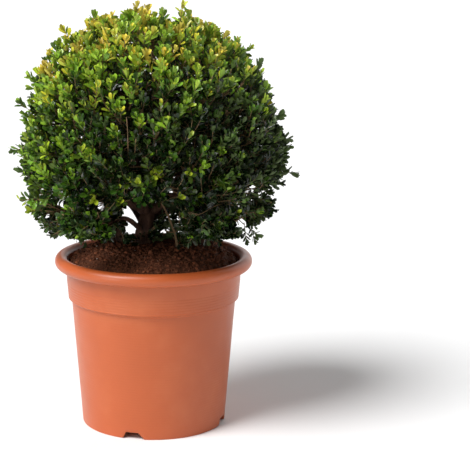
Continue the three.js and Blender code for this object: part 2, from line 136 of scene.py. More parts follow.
# Clipped ball: its outline is a squashed ball with a few broad swells and flats
MIDDLE = np.array([0.0, 0.0, 0.430])
BALL_RADIUS = 0.214
BALL_RISE = 0.246
BALL_DROP = 0.145
ROUNDNESS_ABOVE = 2.3
ROUNDNESS_BELOW = 2.6
OUTLINE_STEPS = 12
UNDERSIDE = 0.386
SKIRT_BOTTOM = 0.299
SKIRT_BOTTOM_SLOPE = 0.22
SKIRT_LOWEST = 0.287
SKIRT_TIP_MARGIN = 0.008
FRONT_GAP = (254, 282)
FRONT_GAP_TOP = 0.392
# Each swell or dip: azimuth, elevation, height and sharpness
SWELLS = (
    (182, 60, 0.010, 13), (186, 5, 0.005, 10), (190, -28, 0.004, 10), (356, 66, -0.008, 14),
    (4, -10, 0.008, 12), (350, -36, -0.008, 10), (75, 30, 0.007, 8), (130, 50, -0.007, 9),
    (265, 20, 0.005, 8), (310, 45, -0.006, 9), (2, -29, -0.024, 34), (180, -37, -0.016, 40),
)  # fmt: skip
# Furthest shoots, each by the point that its last leaf reaches
FURTHEST_TIPS = (
    (0.047, -0.006, 0.690), (0.012, 0.030, 0.676), (-0.233, -0.014, 0.446), (-0.228, 0.040, 0.412),
    (0.236, -0.010, 0.409), (0.231, 0.036, 0.449), (-0.024, -0.232, 0.438), (0.030, -0.226, 0.470),
    (0.020, 0.233, 0.428), (-0.149, 0.014, 0.646), (-0.093, -0.004, 0.672), (-0.006, -0.002, 0.683),
    (0.160, -0.010, 0.619), (-0.205, 0.002, 0.572), (0.102, -0.005, 0.643), (-0.221, -0.005, 0.530),
    (-0.206, 0.010, 0.550), (0.213, 0.000, 0.508), (0.226, 0.004, 0.465),
)  # fmt: skip

# Stems, each through four points, with the radii of its foot and tip and the flare of its foot
STEMS = {
    "trunk": (
        ((-0.017, 0, 0.284), (-0.016, 0.001, 0.312), (-0.012, 0.003, 0.334), (-0.009, 0.004, 0.350)),
        (0.0138, 0.0114),
        0.011,
    ),
    "stem_left": (
        ((-0.050, 0.010, 0.284), (-0.055, 0.009, 0.312), (-0.064, 0.009, 0.348), (-0.074, 0.008, 0.392)),
        (0.008, 0.0056),
        0.0035,
    ),
    "stem_right": (
        ((0.074, 0.002, 0.282), (0.080, 0.001, 0.312), (0.092, -0.002, 0.346), (0.112, -0.006, 0.392)),
        (0.0086, 0.0058),
        0.0035,
    ),
    "stem_front": (
        ((0.038, -0.034, 0.284), (0.035, -0.037, 0.312), (0.024, -0.043, 0.345), (0.002, -0.050, 0.392)),
        (0.0017, 0.0012),
        0.0005,
    ),
}
FLARE_FADE = 5
# Side twigs of the front stem, each from its root to its broken tip
FRONT_TWIGS = (
    ((0.0325, -0.0385, 0.3215), (0.0180, -0.0430, 0.3245)),
    ((0.0325, -0.0385, 0.3215), (0.0530, -0.0450, 0.3370)),
    ((0.0225, -0.0435, 0.3480), (0.0255, -0.0470, 0.3566)),
)
FRONT_TWIG_RADII = (0.0010, 0.0006)
FRONT_TWIG_BEND = 0.0012
FRONT_TWIG_SIDES = 8
# Upper boughs: azimuth and spread of the tip from the fork
FORK = (-0.009, 0.004, 0.344)
UPPER_BOUGHS = {
    "bough_front": (246, 0.062),
    "bough_front_left": (200, 0.070),
    "bough_back_left": (142, 0.066),
    "bough_back": (78, 0.068),
    "bough_right": (12, 0.072),
}
UPPER_BOUGH_TOP = 0.396
UPPER_BOUGH_BEND = 0.006
UPPER_BOUGH_RADII = (0.0076, 0.0052)
# Low boughs: the edges, as azimuths, of the mass that each carries, and the point that it leaves
LOW_BOUGHS = {
    "left": ((150, 210), (-0.057, 0.009, 0.320)),
    "front_left": ((210, 254), (-0.016, 0.001, 0.314)),
    "front_right": ((282, 330), (0.081, 0, 0.316)),
    "right": ((330, 390), (0.084, 0, 0.326)),
    "back_right": ((30, 90), (-0.013, 0.003, 0.324)),
    "back_left": ((90, 150), (-0.014, 0.002, 0.318)),
}
LOW_BOUGH_TIP_RADIUS = 0.116
LOW_BOUGH_TIP = 0.345
LOW_BOUGH_ARCH = 0.001
LOW_BOUGH_BEND_PLACE = 0.55
LOW_BOUGH_RADII = (0.0046, 0.0030)
MASSES = ("crown", *(f"skirt_{side}" for side in LOW_BOUGHS))

# Bark: a limb's last stretch is drawn in, and each has a few knots
TIP_START = 0.86
TIP_LOSS = 0.35
KNOTS = 5
KNOT_PLACES = (0.15, 0.9)
KNOT_HEIGHT = 1.3
KNOT_SHARPNESS = (900, 5)
RIDGE_SCALES = (2.1, 0.42)
RIDGE_SHIFT = 9.3
RIDGE_SHARE = 0.62
FINE_RIDGE_SHARE = 0.38
FINE_RIDGE_SCALE = 2.7
GROOVE_LEVEL = 0.2
# Sides and steps of the trunk's mesh and of the other limbs'
TRUNK_MESH = (40, 90)
LIMB_MESH = (20, 64)

# Growth: the generations of branches in the ball, with their number, the share of the way out that
# they reach and how much it varies, their lift, and the places on the branch before that they leave
GENERATIONS = (
    (36, 0.46, 0.10, 0.45, (0.6, 1.0)),
    (170, 0.68, 0.08, 0.30, (0.62, 0.8, 1.0)),
    (640, 0.845, 0.06, 0.25, (0.62, 0.8, 1.0)),
)
BRANCH_JITTER = 0.05
BRANCH_BEND = 0.36
LAST_STRETCH = 8
LEAST_FALL = 1e-6
UNDERSIDE_REACH = (0.75, 1.0)
# What a parent further out than its child costs in distance, how much a branch turns to its end
# as it leaves, and the shares of its own way and the way out in its heading at the end
OUTWARD_COST = 0.8
LEAVING_TURN = 0.9
ARRIVING_SHARES = (0.6, 0.5)
# How much branches vary in thickness, and shoots in their turn round a branch
THICKNESSES = (0.8, 1.2)
FAN_STRAY = (-40, 40)
# The leafy shoots of each branch: the stretch of it that they leave, their number, how far they
# fan out in degrees, how much of the way to the outline they grow, their greatest length and lift
OUTER_SHOOTS = ((0.6, 1.0), 4, (8, 46), (0.84, 1.00), 0.064, 0.85)
INNER_SHOOTS = ((0.55, 1.0), 6, (10, 80), (0.45, 0.90), 0.055, 0.35)
DEEP_SHOOTS = ((0.5, 1.0), 12, (10, 100), (0.30, 0.70), 0.060, 0.30)
SKIRT_SHOOTS = ((0.15, 1.0), 8, (8, 50), (0.76, 0.98), 0.050, 0.20)
# The share of their lift that shoots take at the ball's middle, how much it grows up to the top,
# and the least of it
SHOOT_RISE = (0.75, 0.6)
LEAST_RISE = 0.15
SHOOT_CURL = 0.3
FURTHEST_ROOT_DEPTH = 0.02
SHOOT_TAIL = 0.012
SHORTEST_SHOOT = 0.016
UNEVENNESS = 0.008
UNEVENNESS_LEVEL = 0.8
WAVES = 12
WAVE_SHARPNESS = 9.0
WAVE_SCALE = 3.5
LONG_SHOOT_SHARE = 0.08
LONG_SHOOT_MORE = (0.006, 0.015)
# Each spray stem of the skirt falls a little and reaches this share of the way to the outline
SPRAY_STEM_FALL = 0.2
SPRAY_STEM_REACH = 0.6
# Side twigs off each spray stem: the place on the stem, the turn from the spray's middle as a
# share of the way to its edge, and the elevation. More follow by rule.
SIDE_TWIGS = (
    (0.2, 0.67, -18), (0.2, -0.7, -31), (0.5, 0.57, -38), (0.5, -0.6, -16),
    (0.75, -0.2, -38), (0.98, 0.4, -26), (0.98, 0, -16),
)  # fmt: skip
MORE_SIDE_TWIGS = 18
SIDE_TWIG_REACH = (0.50, 0.85)
SIDE_TWIG_BEND = 0.8
SIDE_TWIG_STRAY = 3
MORE_TWIG_PLACES = (0.05, 1.0)
MORE_TWIG_TURN = 0.9
MORE_TWIG_ELEVATIONS = (-8, -39)
# Short shoots off the low boughs and off the stems' feet: their number on each limb, how far they
# rise in degrees, their length and lift
LOW_BOUGH_SHOOTS = (44, (-60, 35), (0.018, 0.042), 0.2)
FOOT_SHOOTS = (46, (-20, 40), (0.018, 0.046), 0.0)
FOOT_SHOOT_PLACES = (0.15, 0.60)
LOW_BOUGH_FAN = (-95, 95)
LOW_BOUGH_BARE_STEPS = 3
LINE_STEPS = 40
# Rows of low shoots over the soil's left and right: the first and last tip across, and their
# number; then depth and height of roots and tips, and how much the tips stray
LOW_ROWS = ((-0.128, -0.072, 9), (0.058, 0.106, 7))
LOW_ROW_ROOT = (0.012, 0.336)
LOW_ROW_TIP = (0.035, 0.299)
LOW_ROW_SPREAD = 0.94
LOW_ROW_STRAY = (0.003, 0.012, 0.002)
# Lone low shoots at the right, and bare twigs that show between the leaves, by their points
LOWEST_SHOOTS = (
    ((0.150, -0.002, 0.334), (0.164, -0.006, 0.301)),
    ((0.146, -0.004, 0.330), (0.150, -0.010, 0.302)),
    ((0.157, -0.004, 0.318), (0.170, -0.002, 0.309)),
)
BARE_TWIGS = (
    (
        (-0.034, -0.053, 0.396), (-0.038, -0.150, 0.455), (-0.038, -0.203, 0.491),
        (-0.0385, -0.205, 0.512), (-0.040, -0.205, 0.528),
    ),
    (
        (0.068, -0.094, 0.345), (0.061, -0.118, 0.362), (0.076, -0.120, 0.369),
        (0.091, -0.120, 0.378), (0.105, -0.120, 0.383),
    ),
)  # fmt: skip
# Wood inside the crown: the radii at foot and tip and the sides of its bars, then their steps
BOUGH_BAR = (0.0040, 0.0023, 8)
BRANCH_BAR = (0.0022, 0.0013, 6)
STEM_BAR = (0.0030, 0.0018, 8)
BARE_BAR = (0.0010, 0.0006, 6)
TWIG_BAR = (0.0013, 0.0008, 4)
SHOOT_BAR = (0.0008, 0.0005, 3)
TWIG_STEPS = 7
SHOOT_STEPS = 4
BARE_STEPS = 15

# Openings right through the crown, seen from the front: across and up where they cut the plane
# through the pot's axis, and half their width and height
FRONT_VIEWPOINT = np.array([0.0, -2.4254, 0.823])
OPENINGS = (
    (-0.0390, 0.3440, 0.0095, 0.0110),
    (-0.0333, 0.3208, 0.0095, 0.0125),
    (-0.0349, 0.3588, 0.0065, 0.0080),
    (-0.0397, 0.3827, 0.0050, 0.0050),
    (0.0305, 0.3787, 0.0055, 0.0070),
    (0.0368, 0.4054, 0.0045, 0.0050),
    (-0.0010, 0.3490, 0.0050, 0.0080),
    (-0.0607, 0.3134, 0.0035, 0.0035),
    (0.1400, 0.3288, 0.0080, 0.0055),
    (0.1560, 0.3845, 0.0055, 0.0030),
    (-0.0849, 0.3564, 0.0040, 0.0075),
    (-0.1699, 0.3400, 0.0030, 0.0030),
)
# The same for the views of the trunk and the bare twigs, and the depth in front of which no leaf
# or shoot grows there
VIEWS = (
    (-0.0155, 0.3370, 0.0145, 0.0200, 0.000),
    (0.0280, 0.3260, 0.0080, 0.0330, -0.036),
    (-0.0425, 0.4810, 0.0055, 0.0200, -0.190),
    (0.0863, 0.3500, 0.0200, 0.0080, -0.110),
)
OPENING_MARGIN = 0.005
OPENING_SPREAD = (0.4, 1.3)
OPENING_CHECKS = 6
TWIG_MARGIN = 0.0008
POT_MARGIN = 0.003
RIM_MARGIN = 0.006
RIM_INSIDE = 0.12
# Round the pot's axis below the crown no shoot of the crown hangs down
BARE_RADIUS = 0.085

# Leaves: the edge as places along, across and up, from the foot round by the notched tip; the
# plainer edge is for leaves in the shade
LEAF_EDGE = (
    (0.00, 0.00, 0.00), (0.27, 0.28, 0.02), (0.62, 0.50, 0.02), (0.93, 0.30, -0.05),
    (0.955, 0.00, -0.10), (0.93, -0.30, -0.05), (0.62, -0.50, 0.02), (0.27, -0.28, 0.02),
)  # fmt: skip
PLAIN_LEAF_EDGE = (
    (0.00, 0.00, 0.00), (0.40, 0.42, 0.02), (0.82, 0.42, -0.02),
    (0.97, 0.00, -0.08), (0.82, -0.42, -0.02), (0.40, -0.42, 0.02),
)  # fmt: skip
LEAF_MIDDLE = (0.55, 0.0, -0.05)
LEAF_THICKNESS = 0.02
LEAF_SHARP_ANGLE = 24
# Pairs of leaves down a shoot: distance from its tip, opening angle and size
LEAF_PAIRS = (
    (0.0005, 12, 0.62), (0.0032, 23, 0.86), (0.0078, 33, 1.0), (0.0140, 42, 1.0),
    (0.0210, 50, 0.95), (0.0290, 56, 0.9), (0.0380, 62, 0.85),
)  # fmt: skip
# How much leaves vary: turn, opening and roll in degrees, rise, size, width and curl
LEAF_TURN, LEAF_OPENING, LEAF_ROLL = 9, 8, 16
LEAF_RISE = (0.0, 0.22)
LEAF_SIZE = (0.82, 1.15)
LEAF_WIDTH = (0.88, 1.12)
LEAF_CURL = (0.2, 1.9)
LEAVES_LOST = 0.04
LOWEST_LEAF = 0.05
LEAF_ALLOWANCE = (0.001, 0.015)
# Leaves are smaller in the shade, inside the crown and from the first level down to the second
SHADED_LEAF_LOSS = 0.1
SHADE_LEVELS = (0.400, 0.340)
# The level that parts the leaves of the ball from those of its skirt
PARTING = 0.376
LEAF_KINDS = ("gold", "lime", "fresh", "mid", "deep")
SHADE_SHARES = (0.5, 0.25, 0.25)
# Some shoots anywhere are younger, and so lighter by some steps of colour
YOUNG_SHARE = 0.12
LOW_YOUNG_LOSS = 0.5
# Shoots that face this side get lighter leaves: painted light on the upper left, where the key lamp stands
PAINTED_SUN_SIDE = np.array([-0.74, 0.03, 0.67]) / np.linalg.norm([-0.74, 0.03, 0.67])
# Levels between which a shoot counts more and more as low, and as at the top
LOW_LEVELS = (0.45, 0.33)
TOP_LEVELS = (0.50, 0.64)
# Height and distance beyond the outline, each by a scale of its own
HEIGHT_START = 0.40
HEIGHT_SCALE = 0.27
BEYOND_SCALE = 0.03
WITHIN_LIMITS = (-2, 0)
BEYOND_LIMITS = (0, 0.5)
# Steps of colour that a shoot's traits add to its leaves, where more is deeper, and the same for
# the lightest colour that it may have. Young shoots and shoots beyond the outline are really
# lighter. The steps for the sunny side, the top, the left, height and low level, and those for shoots
# deep inside or set back within the outline, are painted light and painted shade
SHADE_OF_SHOOTS = {
    "start": 3.25, "sun": -1.25, "top": -1.6, "left": -0.6, "height": -0.5, "low": -0.15,
    "depth": 1.3, "chance": 0.85, "young": -1.7, "within": -0.35, "beyond": -2.4,
}  # fmt: skip
LIGHTEST_OF_SHOOTS = {"start": 2.2, "height": -3.1, "chance": 0.45, "young": -0.9}
LIGHTEST_OF_ALL = {"start": 1.5, "left": -0.6, "top": -2.5}
# The steps that each pair of leaves down a shoot and the chance of each leaf add
PAIR_STEPS = 0.28
LEAF_CHANCE = 0.35
# The three shades of each kind of leaf, as factors of its red, green and blue
TINTS = {"plain": (1, 1, 1), "warm": (1.35, 0.98, 1), "cool": (0.8, 0.92, 1.3)}
GOLD_TINTS = {"plain": (1, 1, 1), "warm": (0.68, 0.65, 0.9), "cool": (0.70, 0.94, 1)}
LEAF_UNDERSIDE = (0.20, 0.28, 0.09)
LEAF_UNDERSIDE_SHARE = 0.35
LEAF_UNDERSIDE_ROUGHNESS = 0.55

# Nearly all of a noise lies between these levels
NOISE_LEVELS = (0.3, 0.7)

# Camera
CAMERA_TILT = 11.96
CAMERA_TURN = -3.11
CAMERA_ROLL = 0.62
SENSOR_WIDTH = 36
VIEW_DEPTH = 100
FLOOR_SIZE = 60


def colour_setting(name, description, default):
    return bpy.props.FloatVectorProperty(
        name=name, description=description, default=default, subtype="COLOR", size=3, min=0, max=1
    )


def number_setting(name, description, default, **kind):
    return bpy.props.FloatProperty(name=name, description=description, default=default, min=0, **kind)


def length_setting(name, description, metres):
    return number_setting(name, description, metres, subtype="DISTANCE", unit="LENGTH")


def angle_setting(name, description, degrees):
    return number_setting(name, description, math.radians(degrees), subtype="ANGLE", unit="ROTATION")


def count_setting(name, description, default, least=0):
    return bpy.props.IntProperty(name=name, description=description, default=default, min=least)


def azimuth_setting(lamp, degrees):
    return angle_setting(f"{lamp} azimuth", "Where the light stands, round from the right", degrees)


def elevation_setting(lamp, degrees):
    return angle_setting(f"{lamp} elevation", "How high the light stands", degrees)


def softness_setting(lamp, degrees):
    return angle_setting(f"{lamp} softness", "Width of the light as the plant sees it", degrees)


class PotSettings(bpy.types.PropertyGroup):
    """Sizes and colours of the pot"""

    plastic: colour_setting("Plastic", "Colour of the moulded plastic", (0.475, 0.098, 0.024))
    worn: colour_setting("Worn plastic", "Paler colour where the plastic is rubbed", (0.52, 0.125, 0.038))
    rib_pitch: length_setting("Rib pitch", "Height of one fine moulded rib", 0.0043)
    collar_rib: length_setting("Collar rib", "Depth of the ribs on the collar", 0.00045)
    body_rib: length_setting("Body rib", "Depth of the ribs on the body", 0.00014)
    segments: count_setting("Segments", "Steps round the pot", 144, 24)


class SoilSettings(bpy.types.PropertyGroup):
    """Sizes and colours of the potting soil"""

    peat: colour_setting("Peat", "Colour of the moist peat", (0.108, 0.034, 0.014))
    fibre: colour_setting("Fibre", "Colour of the bark fibres", (0.27, 0.085, 0.035))
    grain: colour_setting("Grain", "Colour of the few pale grains", (0.75, 0.70, 0.62))
    lumps: length_setting("Lumps", "Height of the soil's unevenness", 0.0034)
    crumbs: count_setting("Crumbs", "Number of loose crumbs", 3000)
    fibres: count_setting("Fibres", "Number of loose fibres", 260)


class WoodSettings(bpy.types.PropertyGroup):
    """Sizes and colours of the trunk, stems and boughs"""

    bark: colour_setting("Bark", "Colour of the old bark", (0.066, 0.029, 0.017))
    ridge: colour_setting("Bark ridges", "Paler colour of the bark's ridges", (0.155, 0.082, 0.048))
    twig: colour_setting("Young bark", "Colour of young twigs", (0.26, 0.16, 0.075))
    relief: number_setting("Relief", "Depth of the bark's ridges as a share of the radius", 0.09)


class LeafSettings(bpy.types.PropertyGroup):
    """Sizes and colours of the leaves"""

    length: length_setting("Leaf length", "Length of a full-grown leaf", 0.0162)
    width: length_setting("Leaf width", "Width of a full-grown leaf", 0.0077)
    # Gold is the colour of young tips; the tips on the sunny upper left get it most, as painted light
    gold: colour_setting("Gold", "Colour of the youngest tips on the sunny side", (0.84, 0.68, 0.085))
    lime: colour_setting("Lime", "Colour of young leaves", (0.47, 0.62, 0.045))
    fresh: colour_setting("Fresh green", "Colour of leaves of this year", (0.235, 0.400, 0.026))
    mid: colour_setting("Mid green", "Colour of full-grown leaves", (0.043, 0.100, 0.0075))
    # Deep green is the colour of old leaves, made near black as painted shade for the inside and the low
    # crown
    deep: colour_setting("Deep green", "Colour of old and shaded leaves", (0.008, 0.021, 0.0032))


class StageSettings(bpy.types.PropertyGroup):
    """Floor, light and camera"""

    floor: colour_setting("Floor", "Colour of the floor", (0.95, 0.95, 0.95))
    distance: length_setting("Camera distance", "How far the camera stands in front", 2.4254)
    height: length_setting("Camera height", "Height of the camera above the floor", 0.823)
    lens: number_setting("Lens", "Focal length in millimetres", 116.93)
    sky: number_setting("Fill light", "Brightness of the white ceiling", 0.16)
    wall: number_setting("Walls", "Brightness of the white walls all round", 0.41)
    wall_height: angle_setting("Wall height", "How high the white walls reach above the horizon", 34)
    key: number_setting("Key light", "Strength of the soft key light", 3.6)
    key_azimuth: azimuth_setting("Key", 214)
    key_elevation: elevation_setting("Key", 51)
    key_softness: softness_setting("Key", 33)
    side: number_setting("Side light", "Strength of the low side light", 0.6)
    side_azimuth: azimuth_setting("Side", 220)
    side_elevation: elevation_setting("Side", 7)
    side_softness: softness_setting("Side", 12)
    edge: number_setting("Edge light", "Strength of the light behind", 1.2)
    edge_azimuth: azimuth_setting("Edge", 58)
    edge_elevation: elevation_setting("Edge", 20)
    edge_softness: softness_setting("Edge", 75)


def unit(vectors):
    return vectors / np.maximum(np.linalg.norm(vectors, axis=-1, keepdims=True), SHORTEST)


def compass(azimuth, elevation=0.0):
    """Unit vectors from azimuths and elevations in degrees."""
    turn, rise = np.radians(azimuth), np.radians(elevation)
    level = np.cos(rise)
    return np.stack(np.broadcast_arrays(level * np.cos(turn), level * np.sin(turn), np.sin(rise)), -1)


def seeded(salt):
    return np.random.default_rng(SEED + salt)


def mesh_of(name, body, finishes, kinds=None):
    """A smooth mesh of triangles from places and corners, with a finish's number for each triangle."""
    places, corners = body
    mesh = bpy.data.meshes.new(name)
    mesh.vertices.add(len(places))
    mesh.vertices.foreach_set("co", np.asarray(places, np.float32).ravel())
    mesh.loops.add(corners.size)
    mesh.loops.foreach_set("vertex_index", corners.astype(np.int32).ravel())
    mesh.polygons.add(len(corners))
    mesh.polygons.foreach_set("loop_start", np.arange(0, corners.size, 3, dtype=np.int32))
    for finish in finishes:
        mesh.materials.append(finish)
    if kinds is not None:
        mesh.polygons.foreach_set("material_index", kinds.astype(np.int32))
    mesh.update(calc_edges=True)
    mesh.polygons.foreach_set("use_smooth", np.full(len(corners), True))
    return mesh


def add_piece(name, body, finishes, nodes=(), kinds=None):
    """Puts a body in the scene as a piece that rides on the plant and stands for its nodes."""
    piece = bpy.data.objects.new(name, mesh_of(name, body, finishes, kinds))
    bpy.context.scene.collection.objects.link(piece)
    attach(piece, BODY)
    if nodes:
        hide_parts(*nodes)
    return piece


def bar_corners(steps, sides):
    """Triangles of a closed bar of rings, whose two end points follow them."""
    ring = np.arange(sides)
    after = (ring + 1) % sides
    rows = np.arange(steps - 1)[:, None] * sides
    a, b = (rows + ring).ravel(), (rows + after).ravel()
    last, foot = (steps - 1) * sides, np.full(sides, steps * sides)
    walls = ((a, b, b + sides), (a, b + sides, a + sides))
    ends = ((after, ring, foot), (last + ring, last + after, foot + 1))
    return np.concatenate([np.stack(part, -1) for part in walls + ends])


def repeated(corners, count, size):
    """Triangles of many like bodies of so many places each."""
    return (corners[None] + (np.arange(count) * size)[:, None, None]).reshape(-1, 3)


def joined(bodies):
    """Places and corners of several bodies as one."""
    starts = np.cumsum([0] + [len(places) for places, _ in bodies])
    corners = [corners + start for (_, corners), start in zip(bodies, starts)]
    return np.concatenate([places for places, _ in bodies]), np.concatenate(corners)


def turned(section, segments):
    """A closed body turned from a half section that starts and ends on the axis."""
    angles = np.linspace(0, 2 * math.pi, segments, endpoint=False)
    radius, height = np.array(section[1:-1], float).T[:, :, None]
    rings = np.stack([radius * np.cos(angles), radius * np.sin(angles), height + 0 * angles], -1)
    ends = [(0, 0, section[0][1]), (0, 0, section[-1][1])]
    return np.concatenate([rings.reshape(-1, 3), ends]), bar_corners(len(section) - 2, segments)


def tubes(paths, radii, sides):
    """Closed round bars round many paths of equally many points."""
    count, steps, _ = paths.shape
    along = unit(np.gradient(paths, axis=1))
    mean = unit(paths[:, -1] - paths[:, 0])
    reference = np.where(np.abs(mean[:, 2:]) < STEEP, UP, np.array([1.0, 0.0, 0.0]))
    normal = unit(np.cross(along, reference[:, None]))
    binormal = np.cross(along, normal)
    angles = np.arange(sides) * 2 * math.pi / sides
    ring = normal[:, :, None] * np.cos(angles)[:, None] + binormal[:, :, None] * np.sin(angles)[:, None]
    rings = paths[:, :, None] + ring * radii[:, :, None, None]
    places = np.concatenate([rings.reshape(count, -1, 3), paths[:, :1], paths[:, -1:]], 1)
    return places.reshape(-1, 3), repeated(bar_corners(steps, sides), count, places.shape[1])


def lengths_along(points, power=1.0):
    """How far along a line each of its points lies."""
    return np.concatenate([[0], np.cumsum(np.linalg.norm(np.diff(points, axis=0), axis=1) ** power)])


def smooth_line(through, steps):
    """Evenly spaced points on the centripetal curve through the given points."""
    points = np.array(through, float)
    points = np.vstack([2 * points[0] - points[1], points, 2 * points[-1] - points[-2]])
    knots = lengths_along(points, 0.5)
    dense = []
    for span in range(1, len(points) - 2):
        t = np.linspace(knots[span], knots[span + 1], CURVE_STEPS)[:, None]
        near = knots[span - 1 : span + 3]
        blend = points[span - 1 : span + 3]
        for pairs in (((0, 1), (1, 2), (2, 3)), ((0, 2), (1, 3)), ((1, 2),)):
            knot_pairs = [(near[a], near[b]) for a, b in pairs]
            blend = [
                blend[i] * (b - t) / (b - a) + blend[i + 1] * (t - a) / (b - a)
                for i, (a, b) in enumerate(knot_pairs)
            ]
        dense.append(blend[0])
    dense = np.vstack(dense)
    lengths = lengths_along(dense)
    places = np.linspace(0, lengths[-1], steps)
    return np.stack([np.interp(places, lengths, dense[:, axis]) for axis in range(3)], -1)


def add_node(tree, kind, output, inputs, **traits):
    """A new node's output; each input is a value or another node's output."""
    node = tree.nodes.new(kind)
    for name, trait in traits.items():
        setattr(node, name, trait)
    for name, value in inputs.items():
        if isinstance(value, bpy.types.NodeSocket):
            tree.links.new(value, node.inputs[name])
        else:
            node.inputs[name].default_value = value
    return node.outputs[output]


class Finish:
    """A material, with short ways to let noise drive its colour, roughness and bumps."""

    def __init__(self, name, colour, roughness, specular):
        self.material = bpy.data.materials.new(name)
        self.material.use_nodes = True
        self.material.diffuse_color = (*colour, 1)
        self.tree = self.material.node_tree
        self.shader = self.tree.nodes["Principled BSDF"].inputs
        self.shader["Base Color"].default_value = (*colour, 1)
        self.shader["Roughness"].default_value = roughness
        self.shader["Specular IOR Level"].default_value = specular
        self.place = self.tree.nodes.new("ShaderNodeTexCoord").outputs["Object"]

    def noise(self, scale, detail, roughness=0.55, upright=1.0):
        """Noise over the piece; below 1 upright draws its grain out along the height."""
        place = self.place
        if upright < 1:
            scales = {"Vector": place, "Scale": (1, 1, upright)}
            place = add_node(self.tree, "ShaderNodeMapping", "Vector", scales)
        inputs = {"Vector": place, "Scale": scale, "Detail": detail, "Roughness": roughness}
        return add_node(self.tree, "ShaderNodeTexNoise", "Fac", inputs)

    def colour(self, value, *stops):
        ramp = self.tree.nodes.new("ShaderNodeValToRGB")
        elements = ramp.color_ramp.elements
        while len(elements) < len(stops):
            elements.new(0.5)
        for element, (position, colour) in zip(elements, stops):
            element.position = position
            element.color = (*colour, 1)
        self.tree.links.new(value, ramp.inputs["Fac"])
        self.tree.links.new(ramp.outputs["Color"], self.shader["Base Color"])

    def roughness(self, value, low, high):
        start, end = NOISE_LEVELS
        inputs = {"Value": value, "From Min": start, "From Max": end, "To Min": low, "To Max": high}
        ranged = add_node(self.tree, "ShaderNodeMapRange", "Result", inputs)
        self.tree.links.new(ranged, self.shader["Roughness"])

    def bump(self, value, distance, strength):
        inputs = {"Height": value, "Distance": distance, "Strength": strength}
        bumped = add_node(self.tree, "ShaderNodeBump", "Normal", inputs)
        self.tree.links.new(bumped, self.shader["Normal"])


def scaled(colour, factor):
    return tuple(min(1.0, channel * factor) for channel in colour)


def blended(first, second, share):
    return tuple(a + (b - a) * share for a, b in zip(first, second))


def moulded_plastic(settings):
    plastic = tuple(settings.plastic)
    finish = Finish("moulded_plastic", plastic, roughness=0.38, specular=0.5)
    stops = ((0.30, scaled(plastic, 0.94)), (0.52, plastic), (0.78, tuple(settings.worn)))
    finish.colour(finish.noise(scale=9, detail=4, roughness=0.6), *stops)
    finish.roughness(finish.noise(scale=30, detail=4, roughness=0.6), low=0.34, high=0.44)
    finish.bump(finish.noise(scale=900, detail=2), distance=0.0001, strength=0.35)
    return finish.material


def peat(settings):
    dark, fibre = tuple(settings.peat), tuple(settings.fibre)
    finish = Finish("moist_peat", dark, roughness=0.9, specular=0.3)
    stops = ((0.35, scaled(dark, 0.5)), (0.52, dark), (0.75, blended(dark, fibre, 0.6)))
    finish.colour(finish.noise(scale=260, detail=5, roughness=0.7), *stops)
    fleck = finish.noise(scale=420, detail=5, roughness=0.7)
    finish.bump(fleck, distance=0.0012, strength=0.9)
    return finish.material


def crumb_finish(name, colour):
    finish = Finish(name, colour, roughness=0.88, specular=0.3)
    fleck = finish.noise(scale=500, detail=3, roughness=0.7)
    finish.colour(fleck, (0.3, scaled(colour, 0.55)), (0.7, scaled(colour, 1.3)))
    finish.bump(fleck, distance=0.0006, strength=0.7)
    return finish.material


def old_bark(settings):
    bark = tuple(settings.bark)
    finish = Finish("old_bark", bark, roughness=0.82, specular=0.3)
    grain = finish.noise(scale=160, detail=6, roughness=0.65, upright=0.22)
    finish.colour(grain, (0.32, scaled(bark, 0.35)), (0.5, bark), (0.72, tuple(settings.ridge)))
    finish.bump(grain, distance=0.0014, strength=0.9)
    return finish.material


def young_bark(settings):
    twig = tuple(settings.twig)
    finish = Finish("young_bark", twig, roughness=0.6, specular=0.4)
    grain = finish.noise(scale=220, detail=4, roughness=0.6, upright=0.4)
    finish.colour(grain, (0.3, scaled(twig, 0.5)), (0.55, twig), (0.75, scaled(twig, 1.35)))
    finish.bump(grain, distance=0.0004, strength=0.6)
    return finish.material


def leaf_finish(name, colour, roughness=0.27):
    finish = Finish(name, colour, roughness, specular=0.42)
    mottle = finish.noise(scale=140, detail=2)
    finish.colour(mottle, (0.3, scaled(colour, 0.80)), (0.7, scaled(colour, 1.18)))
    finish.bump(finish.noise(scale=700, detail=2), distance=0.0003, strength=0.35)
    return finish.material


def wall_radius(height):
    """Radius of the inner wall of the pot's body."""
    return FOOT_RADIUS + (SHOULDER[0] - FOOT_RADIUS) * height / SHOULDER[1] - WALL


def arc(radius, start, end, steps):
    """Part of the rim's roll in the half section, between two angles in degrees."""
    turn = np.radians(np.linspace(start, end, steps))
    return [(RIM_MIDDLE[0] + radius * math.cos(a), RIM_MIDDLE[1] + radius * math.sin(a)) for a in turn]


def eased(before, corner, after, size):
    """A corner of the half section eased by a short curve."""
    corner = np.array(corner, float)
    start = corner + unit(np.array(before) - corner) * size
    end = corner + unit(np.array(after) - corner) * size
    t = np.linspace(0, 1, EASING_STEPS)[:, None]
    return list(start * (1 - t) ** 2 + corner * 2 * t * (1 - t) + end * t**2)


def ribbed(start, end, pitch, depth):
    """A straight stretch of the half section with fine ribs pressed into it."""
    start, end = np.array(start), np.array(end)
    length = np.linalg.norm(end - start)
    ribs = max(1, round(length / pitch))
    share = np.linspace(0, 1, RIB_STEPS * ribs + 1)[:, None]
    out = np.array([end[1] - start[1], start[0] - end[0]]) / length
    wave = -depth * (0.5 - 0.5 * np.cos(2 * math.pi * ribs * share))
    return list(start + (end - start) * share + out * wave)


